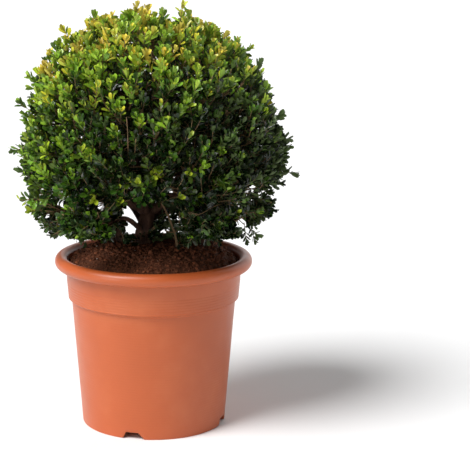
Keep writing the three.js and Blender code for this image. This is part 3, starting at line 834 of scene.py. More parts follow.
def pot_section(settings):
    """The half section of the pot, from the middle of the base's underside round to its upper side."""
    inside, base_top = FOOT_RADIUS - FOOT_RING_WIDTH, BASE_UNDERSIDE + BASE_THICKNESS
    base = [(radius, BASE_UNDERSIDE) for radius in BASE_RADII]
    line = [base[-1], (inside, BASE_UNDERSIDE), (inside, 0), (FOOT_RADIUS, 0), SHOULDER]
    line += [COLLAR_FOOT, COLLAR_TOP]
    *foot, shoulder, lip = [eased(*line[i : i + 3], size) for i, size in enumerate(EASINGS)]
    share = SMOOTH_FOOT / SHOULDER[1]
    body_foot = (FOOT_RADIUS + (SHOULDER[0] - FOOT_RADIUS) * share, SHOULDER[1] * share)
    section = base + sum(foot, [])
    section += ribbed(body_foot, shoulder[0], settings.rib_pitch, settings.body_rib)[:-1]
    section += shoulder + lip[:-1] + ribbed(lip[-1], COLLAR_TOP, settings.rib_pitch, settings.collar_rib)
    section += arc(ROLL_RADIUS - ROLL_THICKNESS, 180, LIP_ANGLE, ROLL_STEPS[0])
    section += arc(ROLL_RADIUS - ROLL_THICKNESS / 2, LIP_END, LIP_END, 1)
    section += arc(ROLL_RADIUS, LIP_ANGLE, 180, ROLL_STEPS[1])
    section += INNER_WALL[::-1]
    return section + [(radius, base_top) for radius in (wall_radius(base_top), *BASE_RADII[::-1])]


def raise_notches(places):
    """Lifts the foot ring into its notches."""
    below = BASE_UNDERSIDE - NOTCH_TOLERANCE
    for azimuth in NOTCH_AZIMUTHS:
        middle = compass(azimuth)
        low = (places @ middle > FOOT_RADIUS - 2 * FOOT_RING_WIDTH) & (places[:, 2] < below)
        aside = np.abs(places @ np.cross(UP, middle))
        slope = (NOTCH_FOOT_WIDTH / 2 - aside) / ((NOTCH_FOOT_WIDTH - NOTCH_TOP_WIDTH) / 2)
        lift = np.where(low, NOTCH_HEIGHT * np.clip(slope, 0, 1), 0.0)
        places[:, 2] += lift * (1 - np.clip(places[:, 2] / BASE_UNDERSIDE, 0, 1))


def drill(piece):
    """Drills the four drain holes through the pot's base."""
    section = [(0, -DRAIN_REACH), (DRAIN_RADIUS, -DRAIN_REACH), (DRAIN_RADIUS, DRAIN_REACH), (0, DRAIN_REACH)]
    places, corners = turned(section, DRAIN_SIDES)
    middles = compass(NOTCH_AZIMUTHS) * DRAIN_CIRCLE_RADIUS + UP * (BASE_UNDERSIDE + BASE_THICKNESS / 2)
    bores = joined([(places + middle, corners) for middle in middles])
    cutter = bpy.data.objects.new("drain_cutter", mesh_of("drain_cutter", bores, []))
    bpy.context.scene.collection.objects.link(cutter)
    cut = piece.modifiers.new("drains", "BOOLEAN")
    cut.operation = "DIFFERENCE"
    cut.solver = "MANIFOLD"
    cut.object = cutter
    bpy.context.view_layer.update()
    drilled = bpy.data.meshes.new_from_object(piece.evaluated_get(bpy.context.evaluated_depsgraph_get()))
    piece.modifiers.clear()
    piece.data = drilled
    bpy.data.objects.remove(cutter)


class OBJECT_OT_box_ball_pot(bpy.types.Operator):
    """Make the round plastic pot with its rolled rim, collar, ribs, foot notches and drains"""

    bl_idname = "object.box_ball_pot"
    bl_label = "Pot"

    def execute(self, context):
        settings = context.scene.box_ball_pot
        places, corners = turned(pot_section(settings), settings.segments)
        raise_notches(places)
        piece = add_piece("pot_body", (places, corners), [moulded_plastic(settings)], ["pot"])
        drill(piece)
        piece.data.set_sharp_from_angle(angle=math.radians(POT_SHARP_ANGLE))
        return {"FINISHED"}


def soil_edge_radius():
    """Radius of the soil's edge at the pot's inner wall."""
    below, above = INNER_WALL[-1], (RIM_MIDDLE[0] - ROLL_RADIUS, RIM_MIDDLE[1])
    share = (SOIL_EDGE - below[1]) / (above[1] - below[1])
    return below[0] + (above[0] - below[0]) * share - SOIL_CLEARANCE


def soil_height(distance):
    """Height of the heaped soil at a distance from the pot's axis."""
    out = np.clip((distance - SOIL_CREST_RADIUS) / (soil_edge_radius() - SOIL_CREST_RADIUS), 0, 1)
    return SOIL_CREST - (SOIL_CREST - SOIL_EDGE) * out**SOIL_SLOPE_POWER


def lumpy(places, size):
    """Uneven heights for places on the soil."""
    lift = np.zeros(len(places))
    for scale, layer, share in SOIL_UNEVENNESS:
        lift += [share * noise.noise(Vector((x * scale, y * scale, layer))) for x, y, _ in places]
    return size * lift


def soil_body(settings):
    """The soil as a closed body with an uneven top."""
    edge, base_top = soil_edge_radius(), BASE_UNDERSIDE + BASE_THICKNESS + SOIL_CLEARANCE
    section = [(0, base_top), (wall_radius(base_top) - SOIL_CLEARANCE, base_top)]
    section += [(radius - SOIL_CLEARANCE, height) for radius, height in INNER_WALL]
    section += [(radius, soil_height(radius)) for radius in np.linspace(edge, 0, SOIL_RINGS)[:-1]]
    places, corners = turned(section + [(0, SOIL_CREST)], SOIL_SEGMENTS)
    upper = places[:, 2] > SOIL_EDGE - SOIL_TOP_DEPTH
    inward = np.clip((edge - np.hypot(places[upper, 0], places[upper, 1])) / EDGE_BAND, 0, 1)
    places[upper, 2] += lumpy(places[upper], settings.lumps) * (EDGE_LUMPS + (1 - EDGE_LUMPS) * inward)
    return places, corners


def spread_on_soil(count, rng, margin):
    """Places scattered evenly over the soil's top, a margin clear of its edge."""
    distance = (soil_edge_radius() - margin) * np.sqrt(rng.uniform(0, 1, count))
    turn = rng.uniform(0, 2 * math.pi, count)
    return np.stack([distance * np.cos(turn), distance * np.sin(turn), soil_height(distance)], -1)


BALL_CORNERS = np.array(
    [
        (0, 11, 5), (0, 5, 1), (0, 1, 7), (0, 7, 10), (0, 10, 11),
        (1, 5, 9), (5, 11, 4), (11, 10, 2), (10, 7, 6), (7, 1, 8),
        (3, 9, 4), (3, 4, 2), (3, 2, 6), (3, 6, 8), (3, 8, 9),
        (4, 9, 5), (2, 4, 11), (6, 2, 10), (8, 6, 7), (9, 8, 1),
    ]
)  # fmt: skip


def crumbs(count, sizes, rng, margin, settings):
    """Loose crumbs: twenty-sided lumps, each stretched, turned and dented in its own way."""
    golden = (1 + math.sqrt(5)) / 2
    flat = np.array([(-1, golden, 0), (1, golden, 0), (-1, -golden, 0), (1, -golden, 0)])
    ball = unit(np.concatenate([np.roll(flat, turn, axis=1) for turn in range(3)]))
    centres = spread_on_soil(count, rng, margin)
    centres[:, 2] += lumpy(centres, settings.lumps)
    size = rng.uniform(*sizes, count) * rng.uniform(*CRUMB_SHRINKING, count)
    stretch = rng.uniform(*CRUMB_STRETCH, (count, 1, 3))
    dents = rng.uniform(*CRUMB_DENTS, (count, len(ball), 1))
    turns = np.array([Euler(rng.uniform(*CRUMB_TURNS, 3)).to_matrix() for _ in range(count)])
    lumps = np.einsum("nij,nvj->nvi", turns, ball * stretch * dents)
    places = centres[:, None] + lumps * size[:, None, None]
    return places.reshape(-1, 3), repeated(BALL_CORNERS, count, len(ball))


def fibres(count, rng, settings):
    """Loose bark fibres that lie across the soil in low arches."""
    middle = spread_on_soil(count, rng, FIBRE_MARGIN)
    middle[:, 2] += lumpy(middle, settings.lumps)
    length = rng.uniform(*FIBRE_LENGTHS, count)[:, None]
    direction = compass(rng.uniform(0, 360, count), rng.uniform(*FIBRE_TILTS, count))
    aside = np.cross(direction, UP) * rng.uniform(*FIBRE_CURVES, (count, 1))
    lift = UP * rng.uniform(*FIBRE_LIFTS, (count, 1))
    shares = np.linspace(-0.5, 0.5, len(FIBRE_PROFILE))
    paths = [middle + direction * length * s + (aside * length + lift) * (1 - 4 * s * s) for s in shares]
    radii = rng.uniform(*FIBRE_RADII, (count, 1)) * np.array(FIBRE_PROFILE)
    return tubes(np.stack(paths, 1), radii, FIBRE_SIDES)


class OBJECT_OT_box_ball_soil(bpy.types.Operator):
    """Make the heaped potting soil with its crumbs, bark fibres and a few pale grains"""

    bl_idname = "object.box_ball_soil"
    bl_label = "Soil"

    def execute(self, context):
        settings = context.scene.box_ball_soil
        dark, fibre = tuple(settings.peat), tuple(settings.fibre)
        add_piece("soil_heap", soil_body(settings), [peat(settings)], ["soil"])
        rng = seeded(1)
        body = crumbs(settings.crumbs, CRUMB_SIZES, rng, CRUMB_MARGIN, settings)
        kinds = np.repeat(rng.choice(len(CRUMB_SHARES), settings.crumbs, p=CRUMB_SHARES), len(BALL_CORNERS))
        tones = {"dark": scaled(dark, 1.2), "brown": blended(dark, fibre, 0.35), "bark": fibre}
        finishes = [crumb_finish(f"{name}_crumb", tone) for name, tone in tones.items()]
        add_piece("soil_crumbs", body, finishes, kinds=kinds)
        body = fibres(settings.fibres, rng, settings)
        add_piece("soil_fibres", body, [crumb_finish("bark_fibre", fibre)])
        body = crumbs(GRAINS, GRAIN_SIZES, rng, GRAIN_MARGIN, settings)
        add_piece("soil_grains", body, [crumb_finish("pale_grain", tuple(settings.grain))])
        return {"FINISHED"}


def limb_lines():
    """All limbs as in the solids: the points that each runs through, its radii and its flare."""
    limbs, fork = dict(STEMS), np.array(FORK)
    for name, (azimuth, spread) in UPPER_BOUGHS.items():
        tip = fork + compass(azimuth) * spread
        tip[2] = UPPER_BOUGH_TOP
        bend = (fork + tip) / 2 + compass(azimuth) * UPPER_BOUGH_BEND
        limbs[name] = ((fork, bend, tip), UPPER_BOUGH_RADII, 0.0)
    for side, (edges, start) in LOW_BOUGHS.items():
        tip = compass(sum(edges) / 2) * LOW_BOUGH_TIP_RADIUS
        tip[2] = LOW_BOUGH_TIP
        bend = np.array(start) + (tip - start) * LOW_BOUGH_BEND_PLACE
        bend[2] = LOW_BOUGH_TIP + LOW_BOUGH_ARCH
        limbs[f"low_bough_{side}"] = ((start, bend, tip), LOW_BOUGH_RADII, 0.0)
    return limbs


def barked(line, radii, flare, relief, seed, sides, steps):
    """A limb with bark: long ridges, a few knots and a flared foot."""
    path = smooth_line(line, steps)
    share = np.linspace(0, 1, steps)
    radius = radii[0] + (radii[1] - radii[0]) * share + flare * np.exp(-FLARE_FADE * share)
    radius *= 1 - TIP_LOSS * np.clip((share - TIP_START) / (1 - TIP_START), 0, 1) ** 2
    places, corners = tubes(path[None], radius[None], sides)
    rng = seeded(seed)
    knots = [(rng.uniform(*KNOT_PLACES), rng.uniform(0, 2 * math.pi)) for _ in range(KNOTS)]
    run = lengths_along(path) / radii[0] * RIDGE_SCALES[1] + seed * RIDGE_SHIFT
    for index in range(steps * sides):
        step, side = divmod(index, sides)
        turn = 2 * math.pi * side / sides
        wrapped = Vector((RIDGE_SCALES[0] * math.cos(turn), RIDGE_SCALES[0] * math.sin(turn), run[step]))
        height = RIDGE_SHARE * abs(noise.noise(wrapped))
        height += FINE_RIDGE_SHARE * noise.noise(wrapped * FINE_RIDGE_SCALE)
        for place, angle in knots:
            aside = math.remainder(turn - angle, 2 * math.pi)
            fade = (share[step] - place) ** 2 * KNOT_SHARPNESS[0] + aside**2 * KNOT_SHARPNESS[1]
            height += KNOT_HEIGHT * math.exp(-fade)
        places[index] = path[step] + (places[index] - path[step]) * (1 + relief * (height - GROOVE_LEVEL))
    return places, corners


def front_twigs():
    """The short side twigs of the front stem, each sagging a little."""
    share = np.linspace(0, 1, TWIG_STEPS)[:, None]
    sag = UP * FRONT_TWIG_BEND * 4 * share * (1 - share)
    paths = np.stack([foot + (tip - foot) * share - sag for foot, tip in np.array(FRONT_TWIGS)])
    radii = np.broadcast_to(np.linspace(*FRONT_TWIG_RADII, TWIG_STEPS), paths.shape[:2])
    return tubes(paths, radii, FRONT_TWIG_SIDES)


class OBJECT_OT_box_ball_limbs(bpy.types.Operator):
    """Make the trunk, the stems and the boughs with the relief of their bark"""

    bl_idname = "object.box_ball_limbs"
    bl_label = "Trunk, stems and boughs"

    def execute(self, context):
        settings = context.scene.box_ball_wood
        bark, tan = old_bark(settings), young_bark(settings)
        for seed, (name, limb) in enumerate(limb_lines().items(), start=1):
            sides, steps = TRUNK_MESH if name == "trunk" else LIMB_MESH
            body, finish, slot = barked(*limb, settings.relief, seed, sides, steps), bark, "bark"
            if name == "stem_front":
                body, finish, slot = joined([body, front_twigs()]), tan, "twig_bark"
            add_piece(f"{name}_bark", body, [finish], [name])
        return {"FINISHED"}


def outline(directions):
    """How far the ball's outline lies from its middle along unit directions."""
    level = np.hypot(directions[..., 0], directions[..., 1]) / BALL_RADIUS
    above = directions[..., 2] > 0
    upright = np.abs(directions[..., 2]) / np.where(above, BALL_RISE, BALL_DROP)
    roundness = np.where(above, ROUNDNESS_ABOVE, ROUNDNESS_BELOW)
    reach = (level**roundness + upright**roundness) ** (-1 / roundness)
    for azimuth, elevation, height, sharpness in SWELLS:
        reach = reach + height * np.exp(sharpness * (directions @ compass(azimuth, elevation) - 1))
    return reach


def beyond_outline(places):
    """How far places lie beyond the ball's outline; less than 0 is inside it."""
    offset = places - MIDDLE
    return np.linalg.norm(offset, axis=-1) - outline(unit(offset))


def length_to_outline(roots, directions):
    """How far the outline is from each root along its direction."""
    length = np.zeros(len(roots))
    for _ in range(OUTLINE_STEPS):
        length -= beyond_outline(roots + directions * length[:, None])
    return length


def underside(places):
    """The lowest level of the foliage: it rises to the front, and is high in the gap at the front."""
    level = np.maximum(SKIRT_BOTTOM - SKIRT_BOTTOM_SLOPE * places[:, 1], SKIRT_LOWEST)
    azimuth = np.degrees(np.arctan2(places[:, 1], places[:, 0])) % 360
    in_gap = (azimuth > FRONT_GAP[0]) & (azimuth < FRONT_GAP[1])
    return np.where(in_gap, FRONT_GAP_TOP, level)


def kept_up(places):
    """The same places, each lifted clear of the underside where it would hang below."""
    lowest = underside(places) + SKIRT_TIP_MARGIN
    return np.column_stack([places[:, :2], np.maximum(places[:, 2], lowest)])


def even_directions(count, rng):
    """Directions spread evenly round the ball by the golden angle, each nudged a little."""
    index = np.arange(count)
    rise = np.degrees(np.arcsin(1 - (2 * index + 1) / count))
    directions = compass(index * 180 * (3 - math.sqrt(5)), rise)
    return unit(directions + rng.normal(0, BRANCH_JITTER, (count, 3)))


def unevenness(directions):
    """Slow ups and downs over the ball's surface, between about -1 and 1."""
    rng = seeded(9)
    waves = rng.normal(0, WAVE_SHARPNESS, (WAVES, 3))
    phases = rng.uniform(0, 2 * math.pi, WAVES)
    return np.sin(directions @ waves.T + phases).sum(axis=1) / WAVE_SCALE


def shell(count, share, wander, rng):
    """Places spread over the outline drawn in to a share of its reach, above the underside."""
    directions = even_directions(count, rng)
    reach = outline(directions) * share * rng.uniform(1 - wander, 1 + wander, count)
    fall = np.maximum(-directions[:, 2], LEAST_FALL)
    to_underside = (MIDDLE[2] - UNDERSIDE) / fall * rng.uniform(*UNDERSIDE_REACH, count)
    return MIDDLE + directions * np.minimum(reach, to_underside)[:, None]


class Grown:
    """Branches as smooth curves, each with four handles."""

    def __init__(self, *handles):
        self.handles = handles
        self.starts, self.ends = handles[0], handles[-1]

    @classmethod
    def reaching(cls, starts, leaving, ends, arriving):
        reach = BRANCH_BEND * np.linalg.norm(ends - starts, axis=1)[:, None]
        return cls(starts, starts + leaving * reach, ends - arriving * reach, ends)

    def at(self, share):
        a, b, c, d = self.handles
        t = np.reshape(share, (-1, 1))
        return a * (1 - t) ** 3 + 3 * b * t * (1 - t) ** 2 + 3 * c * t * t * (1 - t) + d * t**3

    def heading_at(self, share):
        a, b, c, d = self.handles
        t = np.reshape(share, (-1, 1))
        return unit((b - a) * (1 - t) ** 2 + (c - b) * 2 * t * (1 - t) + (d - c) * t * t)

    def paths(self, steps):
        return np.stack([self.at(share) for share in np.linspace(0, 1, steps)], 1)

    def picked(self, chosen):
        return Grown(*(handle[chosen] for handle in self.handles))


def together(generations):
    """Several generations as one."""
    return Grown(*(np.concatenate(column) for column in zip(*(each.handles for each in generations))))


def straight(roots, ends):
    """Shoots that grow straight from their roots to their ends."""
    directions = unit(ends - roots)
    return Grown.reaching(roots, directions, ends, directions)


def nearest(children, parents):
    """For each child the parent it grows from: near, and not further out than itself."""
    distance = np.linalg.norm(children[:, None] - parents[None], axis=2)
    parents_out = np.linalg.norm(parents - MIDDLE, axis=1)[None]
    outness = parents_out - np.linalg.norm(children - MIDDLE, axis=1)[:, None]
    return np.argmin(distance + OUTWARD_COST * np.maximum(outness, 0), axis=1)


def next_generation(parents, ends, lift, leaving, rng):
    """Branches from a generation out to new ends, leaving along its last stretch."""
    chosen = parents.picked(nearest(ends, parents.ends))
    share = rng.choice(leaving, len(ends))
    starts, heading = chosen.at(share), chosen.heading_at(share)
    toward = unit(ends - starts)
    own, out = ARRIVING_SHARES
    arriving = unit(own * toward + out * unit(ends - MIDDLE) + UP * lift)
    return Grown.reaching(starts, unit(heading + LEAVING_TURN * toward), ends, arriving)


def bars(kinds, rng):
    """Bars along the paths of each kind, tapered, and each a little thicker or thinner."""
    bodies = []
    for paths, (foot, tip, sides) in kinds:
        radii = (foot + (tip - foot) * np.linspace(0, 1, paths.shape[1]))[None]
        bodies.append(tubes(paths, radii * rng.uniform(*THICKNESSES, (len(paths), 1)), sides))
    return joined(bodies)


def limb_ends(names):
    """The last stretches of limbs, as a generation that others grow on from."""
    limbs = limb_lines()
    lines = np.array([smooth_line(limbs[name][0], LINE_STEPS) for name in names])
    headings = unit(lines[:, -1] - lines[:, -2])
    return Grown.reaching(lines[:, -LAST_STRETCH], headings, lines[:, -1], headings)


def crown_branches():
    """Three generations of branches in the ball, each grown on from the one before."""
    rng = seeded(2)
    grown = [limb_ends([name for name in limb_lines() if name.startswith(("bough", "stem"))])]
    for count, share, wander, lift, leaving in GENERATIONS:
        grown.append(next_generation(grown[-1], shell(count, share, wander, rng), lift, leaving, rng))
    return grown[1:]


def skirt_branches():
    """The spray stems of the skirt and their side twigs, by the same rule as in the solids."""
    rng = seeded(3)
    tips = limb_ends([f"low_bough_{side}" for side in LOW_BOUGHS])
    middles = np.array([sum(edges) / 2 for edges, _ in LOW_BOUGHS.values()])
    halves = np.array([(edges[1] - edges[0]) / 2 for edges, _ in LOW_BOUGHS.values()])
    directions = unit(compass(middles) - UP * SPRAY_STEM_FALL)
    length = length_to_outline(tips.ends, directions) * SPRAY_STEM_REACH
    ends = kept_up(tips.ends + directions * length[:, None])
    stems = Grown.reaching(tips.ends, tips.heading_at(1.0), ends, directions)
    twigs, (highest, lowest) = [], MORE_TWIG_ELEVATIONS
    for index in range(MORE_SIDE_TWIGS + len(SIDE_TWIGS)):
        if index < len(SIDE_TWIGS):
            place, turn, elevation = SIDE_TWIGS[index]
        else:
            spread = (index - len(SIDE_TWIGS) + 0.5) / MORE_SIDE_TWIGS
            place = rng.uniform(*MORE_TWIG_PLACES)
            turn = 2 * MORE_TWIG_TURN * ((index * GOLDEN_TURN) % 1) - MORE_TWIG_TURN
            elevation = highest + (lowest - highest) * spread
        outward = compass(middles + turn * halves + rng.normal(0, SIDE_TWIG_STRAY, len(middles)), elevation)
        target = kept_up(MIDDLE + outward * outline(outward)[:, None])
        start, heading = stems.at(place), stems.heading_at(place)
        toward = unit(target - start)
        tip = start + (target - start) * rng.uniform(*SIDE_TWIG_REACH, (len(start), 1))
        twigs.append(Grown.reaching(start, unit(heading + SIDE_TWIG_BEND * toward), tip, toward))
    return stems, together(twigs)


def fanned(outward, count, rng, fan):
    """Directions that fan out round each outward direction, one turn after the other."""
    aside = unit(np.cross(outward, FAN_AXIS))
    over = np.cross(outward, aside)
    fans = []
    for index in range(count):
        turn = rng.uniform(0, 360) + 360 * index / count + rng.uniform(*FAN_STRAY, len(outward))
        turn = np.radians(turn)[:, None]
        tilt = np.radians(rng.uniform(*fan, len(outward)))[:, None]
        fans.append(outward * np.cos(tilt) + (aside * np.cos(turn) + over * np.sin(turn)) * np.sin(tilt))
    return np.concatenate(fans)


def shoots_of(generation, kind, rng):
    """Leafy shoots that fan out from the ends of a generation and grow towards the outline."""
    along, count, fan, stretch, longest, lift = kind
    several = together([generation] * count)
    outward = unit(several.ends - MIDDLE)
    roots = several.at(rng.uniform(*along, len(outward)))
    rise = lift * np.clip(SHOOT_RISE[0] + SHOOT_RISE[1] * outward[:, 2], LEAST_RISE, 1)
    directions = unit(fanned(unit(generation.ends - MIDDLE), count, rng, fan) + UP * rise[:, None])
    length = length_to_outline(roots, directions) * rng.uniform(*stretch, len(roots))
    length += UNEVENNESS * (unevenness(outward) - UNEVENNESS_LEVEL) - SHOOT_TAIL
    more = rng.uniform(*LONG_SHOOT_MORE, len(roots)) * (rng.uniform(0, 1, len(roots)) < LONG_SHOOT_SHARE)
    length = np.clip(length, SHORTEST_SHOOT, longest) + more
    ends = kept_up(roots + directions * length[:, None])
    return Grown.reaching(roots, directions, ends, unit(directions + UP * SHOOT_CURL))


def side_shoots(roots, azimuth, kind, rng):
    """Short leafy shoots of a kind that leave their roots by azimuth."""
    count, rise, length, lift = kind
    direction = compass(azimuth, rng.uniform(*rise, count))
    ends = roots + direction * rng.uniform(*length, (count, 1))
    return Grown.reaching(roots, direction, ends, unit(direction + UP * lift))


def shaded_shoots(rng):
    """Shoots off the low boughs beside the trunk, then off the feet of the trunk and stems."""
    limbs, shoots = limb_lines(), []
    for side, (edges, _) in LOW_BOUGHS.items():
        line = smooth_line(limbs[f"low_bough_{side}"][0], LINE_STEPS)
        places = rng.integers(LOW_BOUGH_BARE_STEPS, LINE_STEPS, LOW_BOUGH_SHOOTS[0])
        azimuth = sum(edges) / 2 + rng.uniform(*LOW_BOUGH_FAN, len(places))
        shoots.append(side_shoots(line[places], azimuth, LOW_BOUGH_SHOOTS, rng))
    for through, _, _ in STEMS.values():
        line = smooth_line(through, LINE_STEPS)
        places = (rng.uniform(*FOOT_SHOOT_PLACES, FOOT_SHOOTS[0]) * LINE_STEPS).astype(int)
        shoots.append(side_shoots(line[places], rng.uniform(0, 360, len(places)), FOOT_SHOOTS, rng))
    return together(shoots)


def low_rows(rng):
    """Shoots that hang low over the left and right of the soil, and hide the rim behind it."""
    across = np.concatenate([np.linspace(*row) for row in LOW_ROWS])[:, None]
    roots = across * (LOW_ROW_SPREAD, 0, 0) + (0, *LOW_ROW_ROOT)
    ends = across * (1, 0, 0) + (0, *LOW_ROW_TIP)
    return straight(roots, ends + rng.normal(0, 1, ends.shape) * LOW_ROW_STRAY)


def furthest_shoots(twigs):
    """The shoots that reach the furthest tips, and the lone ones low on the right."""
    tips = np.array(FURTHEST_TIPS)
    roots = twigs.ends[nearest(tips - unit(tips - MIDDLE) * FURTHEST_ROOT_DEPTH, twigs.ends)]
    ends = tips - unit(tips - roots) * SHOOT_TAIL
    lowest = np.array(LOWEST_SHOOTS)
    return straight(np.concatenate([roots, lowest[:, 0]]), np.concatenate([ends, lowest[:, 1]]))


def over_pot(places):
    """True where places lie above the soil and the pot's rim."""
    distance = np.hypot(places[:, 0], places[:, 1])
    over_rim = (distance > RIM_INSIDE) & (distance < RIM_MIDDLE[0] + ROLL_RADIUS + RIM_MARGIN)
    soil = np.where(distance < soil_edge_radius(), soil_height(distance), 0)
    rim = np.where(over_rim, RIM_MIDDLE[1] + ROLL_RADIUS, 0)
    return places[:, 2] > np.maximum(soil, rim) + POT_MARGIN


def seen_open(places, margins):
    """True where a leaf or shoot would close an opening or a view, seen from the front."""
    from_front = places - FRONT_VIEWPOINT
    scale = -FRONT_VIEWPOINT[1] / from_front[:, 1]
    across = from_front[:, 0] * scale
    up = FRONT_VIEWPOINT[2] + from_front[:, 2] * scale
    within = np.zeros(len(places), bool)
    for x, z, half_width, half_height, *depth in OPENINGS + VIEWS:
        aside, above = (across - x) / (half_width + margins), (up - z) / (half_height + margins)
        inside = aside**2 + above**2 < 1
        within |= inside & (places[:, 1] < depth[0]) if depth else inside
    return within


def all_shoots():
    """Every leafy shoot of the crown, and how deep inside it each lies, from 0 to 2."""
    rng = seeded(4)
    boughs, branches, twigs = crown_branches()
    _, sprays = skirt_branches()
    kinds = (
        (shoots_of(twigs, OUTER_SHOOTS, rng), 0),
        (shoots_of(branches, INNER_SHOOTS, rng), 1),
        (shoots_of(boughs, DEEP_SHOOTS, rng), 2),
        (shoots_of(sprays, SKIRT_SHOOTS, rng), 0),
        (shaded_shoots(rng), 1),
        (low_rows(rng), 1),
    )
    shoots = together([grown for grown, _ in kinds])
    depth = np.concatenate([np.full(len(grown.ends), level) for grown, level in kinds])
    in_ball = np.arange(len(depth)) < sum(len(grown.ends) for grown, _ in kinds[:3])
    above = shoots.ends[:, 2] > underside(shoots.ends)
    keep = over_pot(shoots.ends) & ((depth == 1) & ~in_ball | above)
    hanging = (np.hypot(shoots.ends[:, 0], shoots.ends[:, 1]) < BARE_RADIUS) & (shoots.ends[:, 2] < UNDERSIDE)
    keep &= ~(in_ball & hanging)
    for share in np.linspace(0, 1, OPENING_CHECKS):
        keep &= ~seen_open(shoots.at(share), TWIG_MARGIN)
    furthest = furthest_shoots(twigs)
    depth = np.concatenate([depth[keep], np.zeros(len(furthest.ends), int)])
    return together([shoots.picked(keep), furthest]), depth


class OBJECT_OT_box_ball_twigs(bpy.types.Operator):
    """Grow the boughs, branches, twigs and shoots inside the crown on from the limbs"""

    bl_idname = "object.box_ball_twigs"
    bl_label = "Branches and twigs"

    def execute(self, context):
        wood = context.scene.box_ball_wood
        rng = seeded(5)
        boughs, branches, twigs = (grown.paths(TWIG_STEPS) for grown in crown_branches())
        stems, sprays = (grown.paths(TWIG_STEPS) for grown in skirt_branches())
        shoots = all_shoots()[0].paths(SHOOT_STEPS)
        bare = np.array([smooth_line(through, BARE_STEPS) for through in BARE_TWIGS])
        thick = ((boughs, BOUGH_BAR), (branches, BRANCH_BAR), (stems, STEM_BAR))
        thin = ((bare, BARE_BAR), (twigs, TWIG_BAR), (sprays, TWIG_BAR), (shoots, SHOOT_BAR))
        add_piece("branches", bars(thick, rng), [old_bark(wood)], MASSES)
        add_piece("twigs", bars(thin, rng), [young_bark(wood)], MASSES)
        return {"FINISHED"}


def leaf_template(edge):
    """One closed leaf: a fan of triangles for its upper side, then one for its underside."""
    along, across, lift = LEAF_MIDDLE
    places = np.array([*edge, LEAF_MIDDLE, (along, across, lift - LEAF_THICKNESS)], float)
    here = np.arange(len(edge))
    after, middle = (here + 1) % len(edge), np.full(len(edge), len(edge))
    upper, under = np.stack([here, middle, after], -1), np.stack([after, middle + 1, here], -1)
    return places, np.concatenate([upper, under])


def leaf_places(shoots, rng):
    """Feet, directions and sizes of all leaves, in opposite pairs, each pair turned a quarter."""
    count = len(shoots.ends)
    length = np.linalg.norm(shoots.ends - shoots.starts, axis=1)
    turn = rng.uniform(0, 180, count)
    rows = {"foot": [], "direction": [], "across": [], "size": [], "shoot": [], "pair": []}
    for pair, (back, opening, size) in enumerate(LEAF_PAIRS):
        share = 1 - back / length
        on_shoot = share > LOWEST_LEAF
        share = np.clip(share, 0, 1)
        foot, along = shoots.at(share), shoots.heading_at(share)
        aside = unit(np.cross(along, LEAF_AXIS))
        over = np.cross(along, aside)
        for half in (0, 180):
            angle = np.radians(turn + 90 * pair + half + rng.normal(0, LEAF_TURN, count))[:, None]
            open_angle = np.radians(opening + rng.normal(0, LEAF_OPENING, count))[:, None]
            out = aside * np.cos(angle) + over * np.sin(angle)
            direction = along * np.cos(open_angle) + out * np.sin(open_angle)
            direction = unit(direction + UP * rng.uniform(*LEAF_RISE, (count, 1)))
            across = unit(np.cross(along, direction))
            roll = np.radians(rng.normal(0, LEAF_ROLL, count))[:, None]
            across = across * np.cos(roll) + np.cross(direction, across) * np.sin(roll)
            keep = on_shoot & (rng.uniform(0, 1, count) > LEAVES_LOST + LEAVES_LOST * pair)
            own = np.nonzero(keep)[0]
            sizes = size * rng.uniform(*LEAF_SIZE, len(own))
            row = (foot[keep], direction[keep], across[keep], sizes, own, np.full(len(own), pair))
            for column, values in zip(rows.values(), row):
                column.append(values)
    return {name: np.concatenate(column) for name, column in rows.items()}


def between(values, levels):
    """How far values lie on the way from the first level to the second, kept from 0 to 1."""
    return np.clip((values - levels[0]) / (levels[1] - levels[0]), 0, 1)


def colour_steps(table, traits):
    """The steps of colour that a table gives to each shoot by its traits."""
    return sum(steps * traits[name] for name, steps in table.items())


def leaf_kinds(shoots, depth, leaves, rng):
    """Which colour each leaf has: lighter at the young tips, with painted light on the sunny upper left and
    the top, and painted shade low down and deep inside.
    """
    outward, count = unit(shoots.ends - MIDDLE), len(shoots.ends)
    beyond = beyond_outline(shoots.ends) / BEYOND_SCALE
    low = between(shoots.ends[:, 2], LOW_LEVELS)
    top = between(shoots.ends[:, 2], TOP_LEVELS)
    top = top * top * (3 - 2 * top)
    traits = {
        "start": 1,
        "height": (shoots.ends[:, 2] - HEIGHT_START) / HEIGHT_SCALE,
        "low": low,
        "top": top,
        "left": np.clip(-outward[:, 0], 0, 1) ** 2 * (1 - top),
        "sun": outward @ PAINTED_SUN_SIDE,
        "young": rng.uniform(0, 1, count) < YOUNG_SHARE * (1 - LOW_YOUNG_LOSS * low),
        "depth": depth,
        "chance": rng.normal(0, 1, count),
        "within": np.clip(beyond, *WITHIN_LIMITS),
        "beyond": np.clip(beyond, *BEYOND_LIMITS),
    }
    shade = colour_steps(SHADE_OF_SHOOTS, traits)
    traits["chance"] = rng.normal(0, 1, count)
    lightest = np.maximum(colour_steps(LIGHTEST_OF_SHOOTS, traits), colour_steps(LIGHTEST_OF_ALL, traits))
    own = leaves["shoot"]
    level = shade[own] + PAIR_STEPS * leaves["pair"] + rng.normal(0, LEAF_CHANCE, len(own))
    return np.clip(np.round(np.maximum(level, lightest[own])), 0, len(LEAF_KINDS) - 1).astype(int)


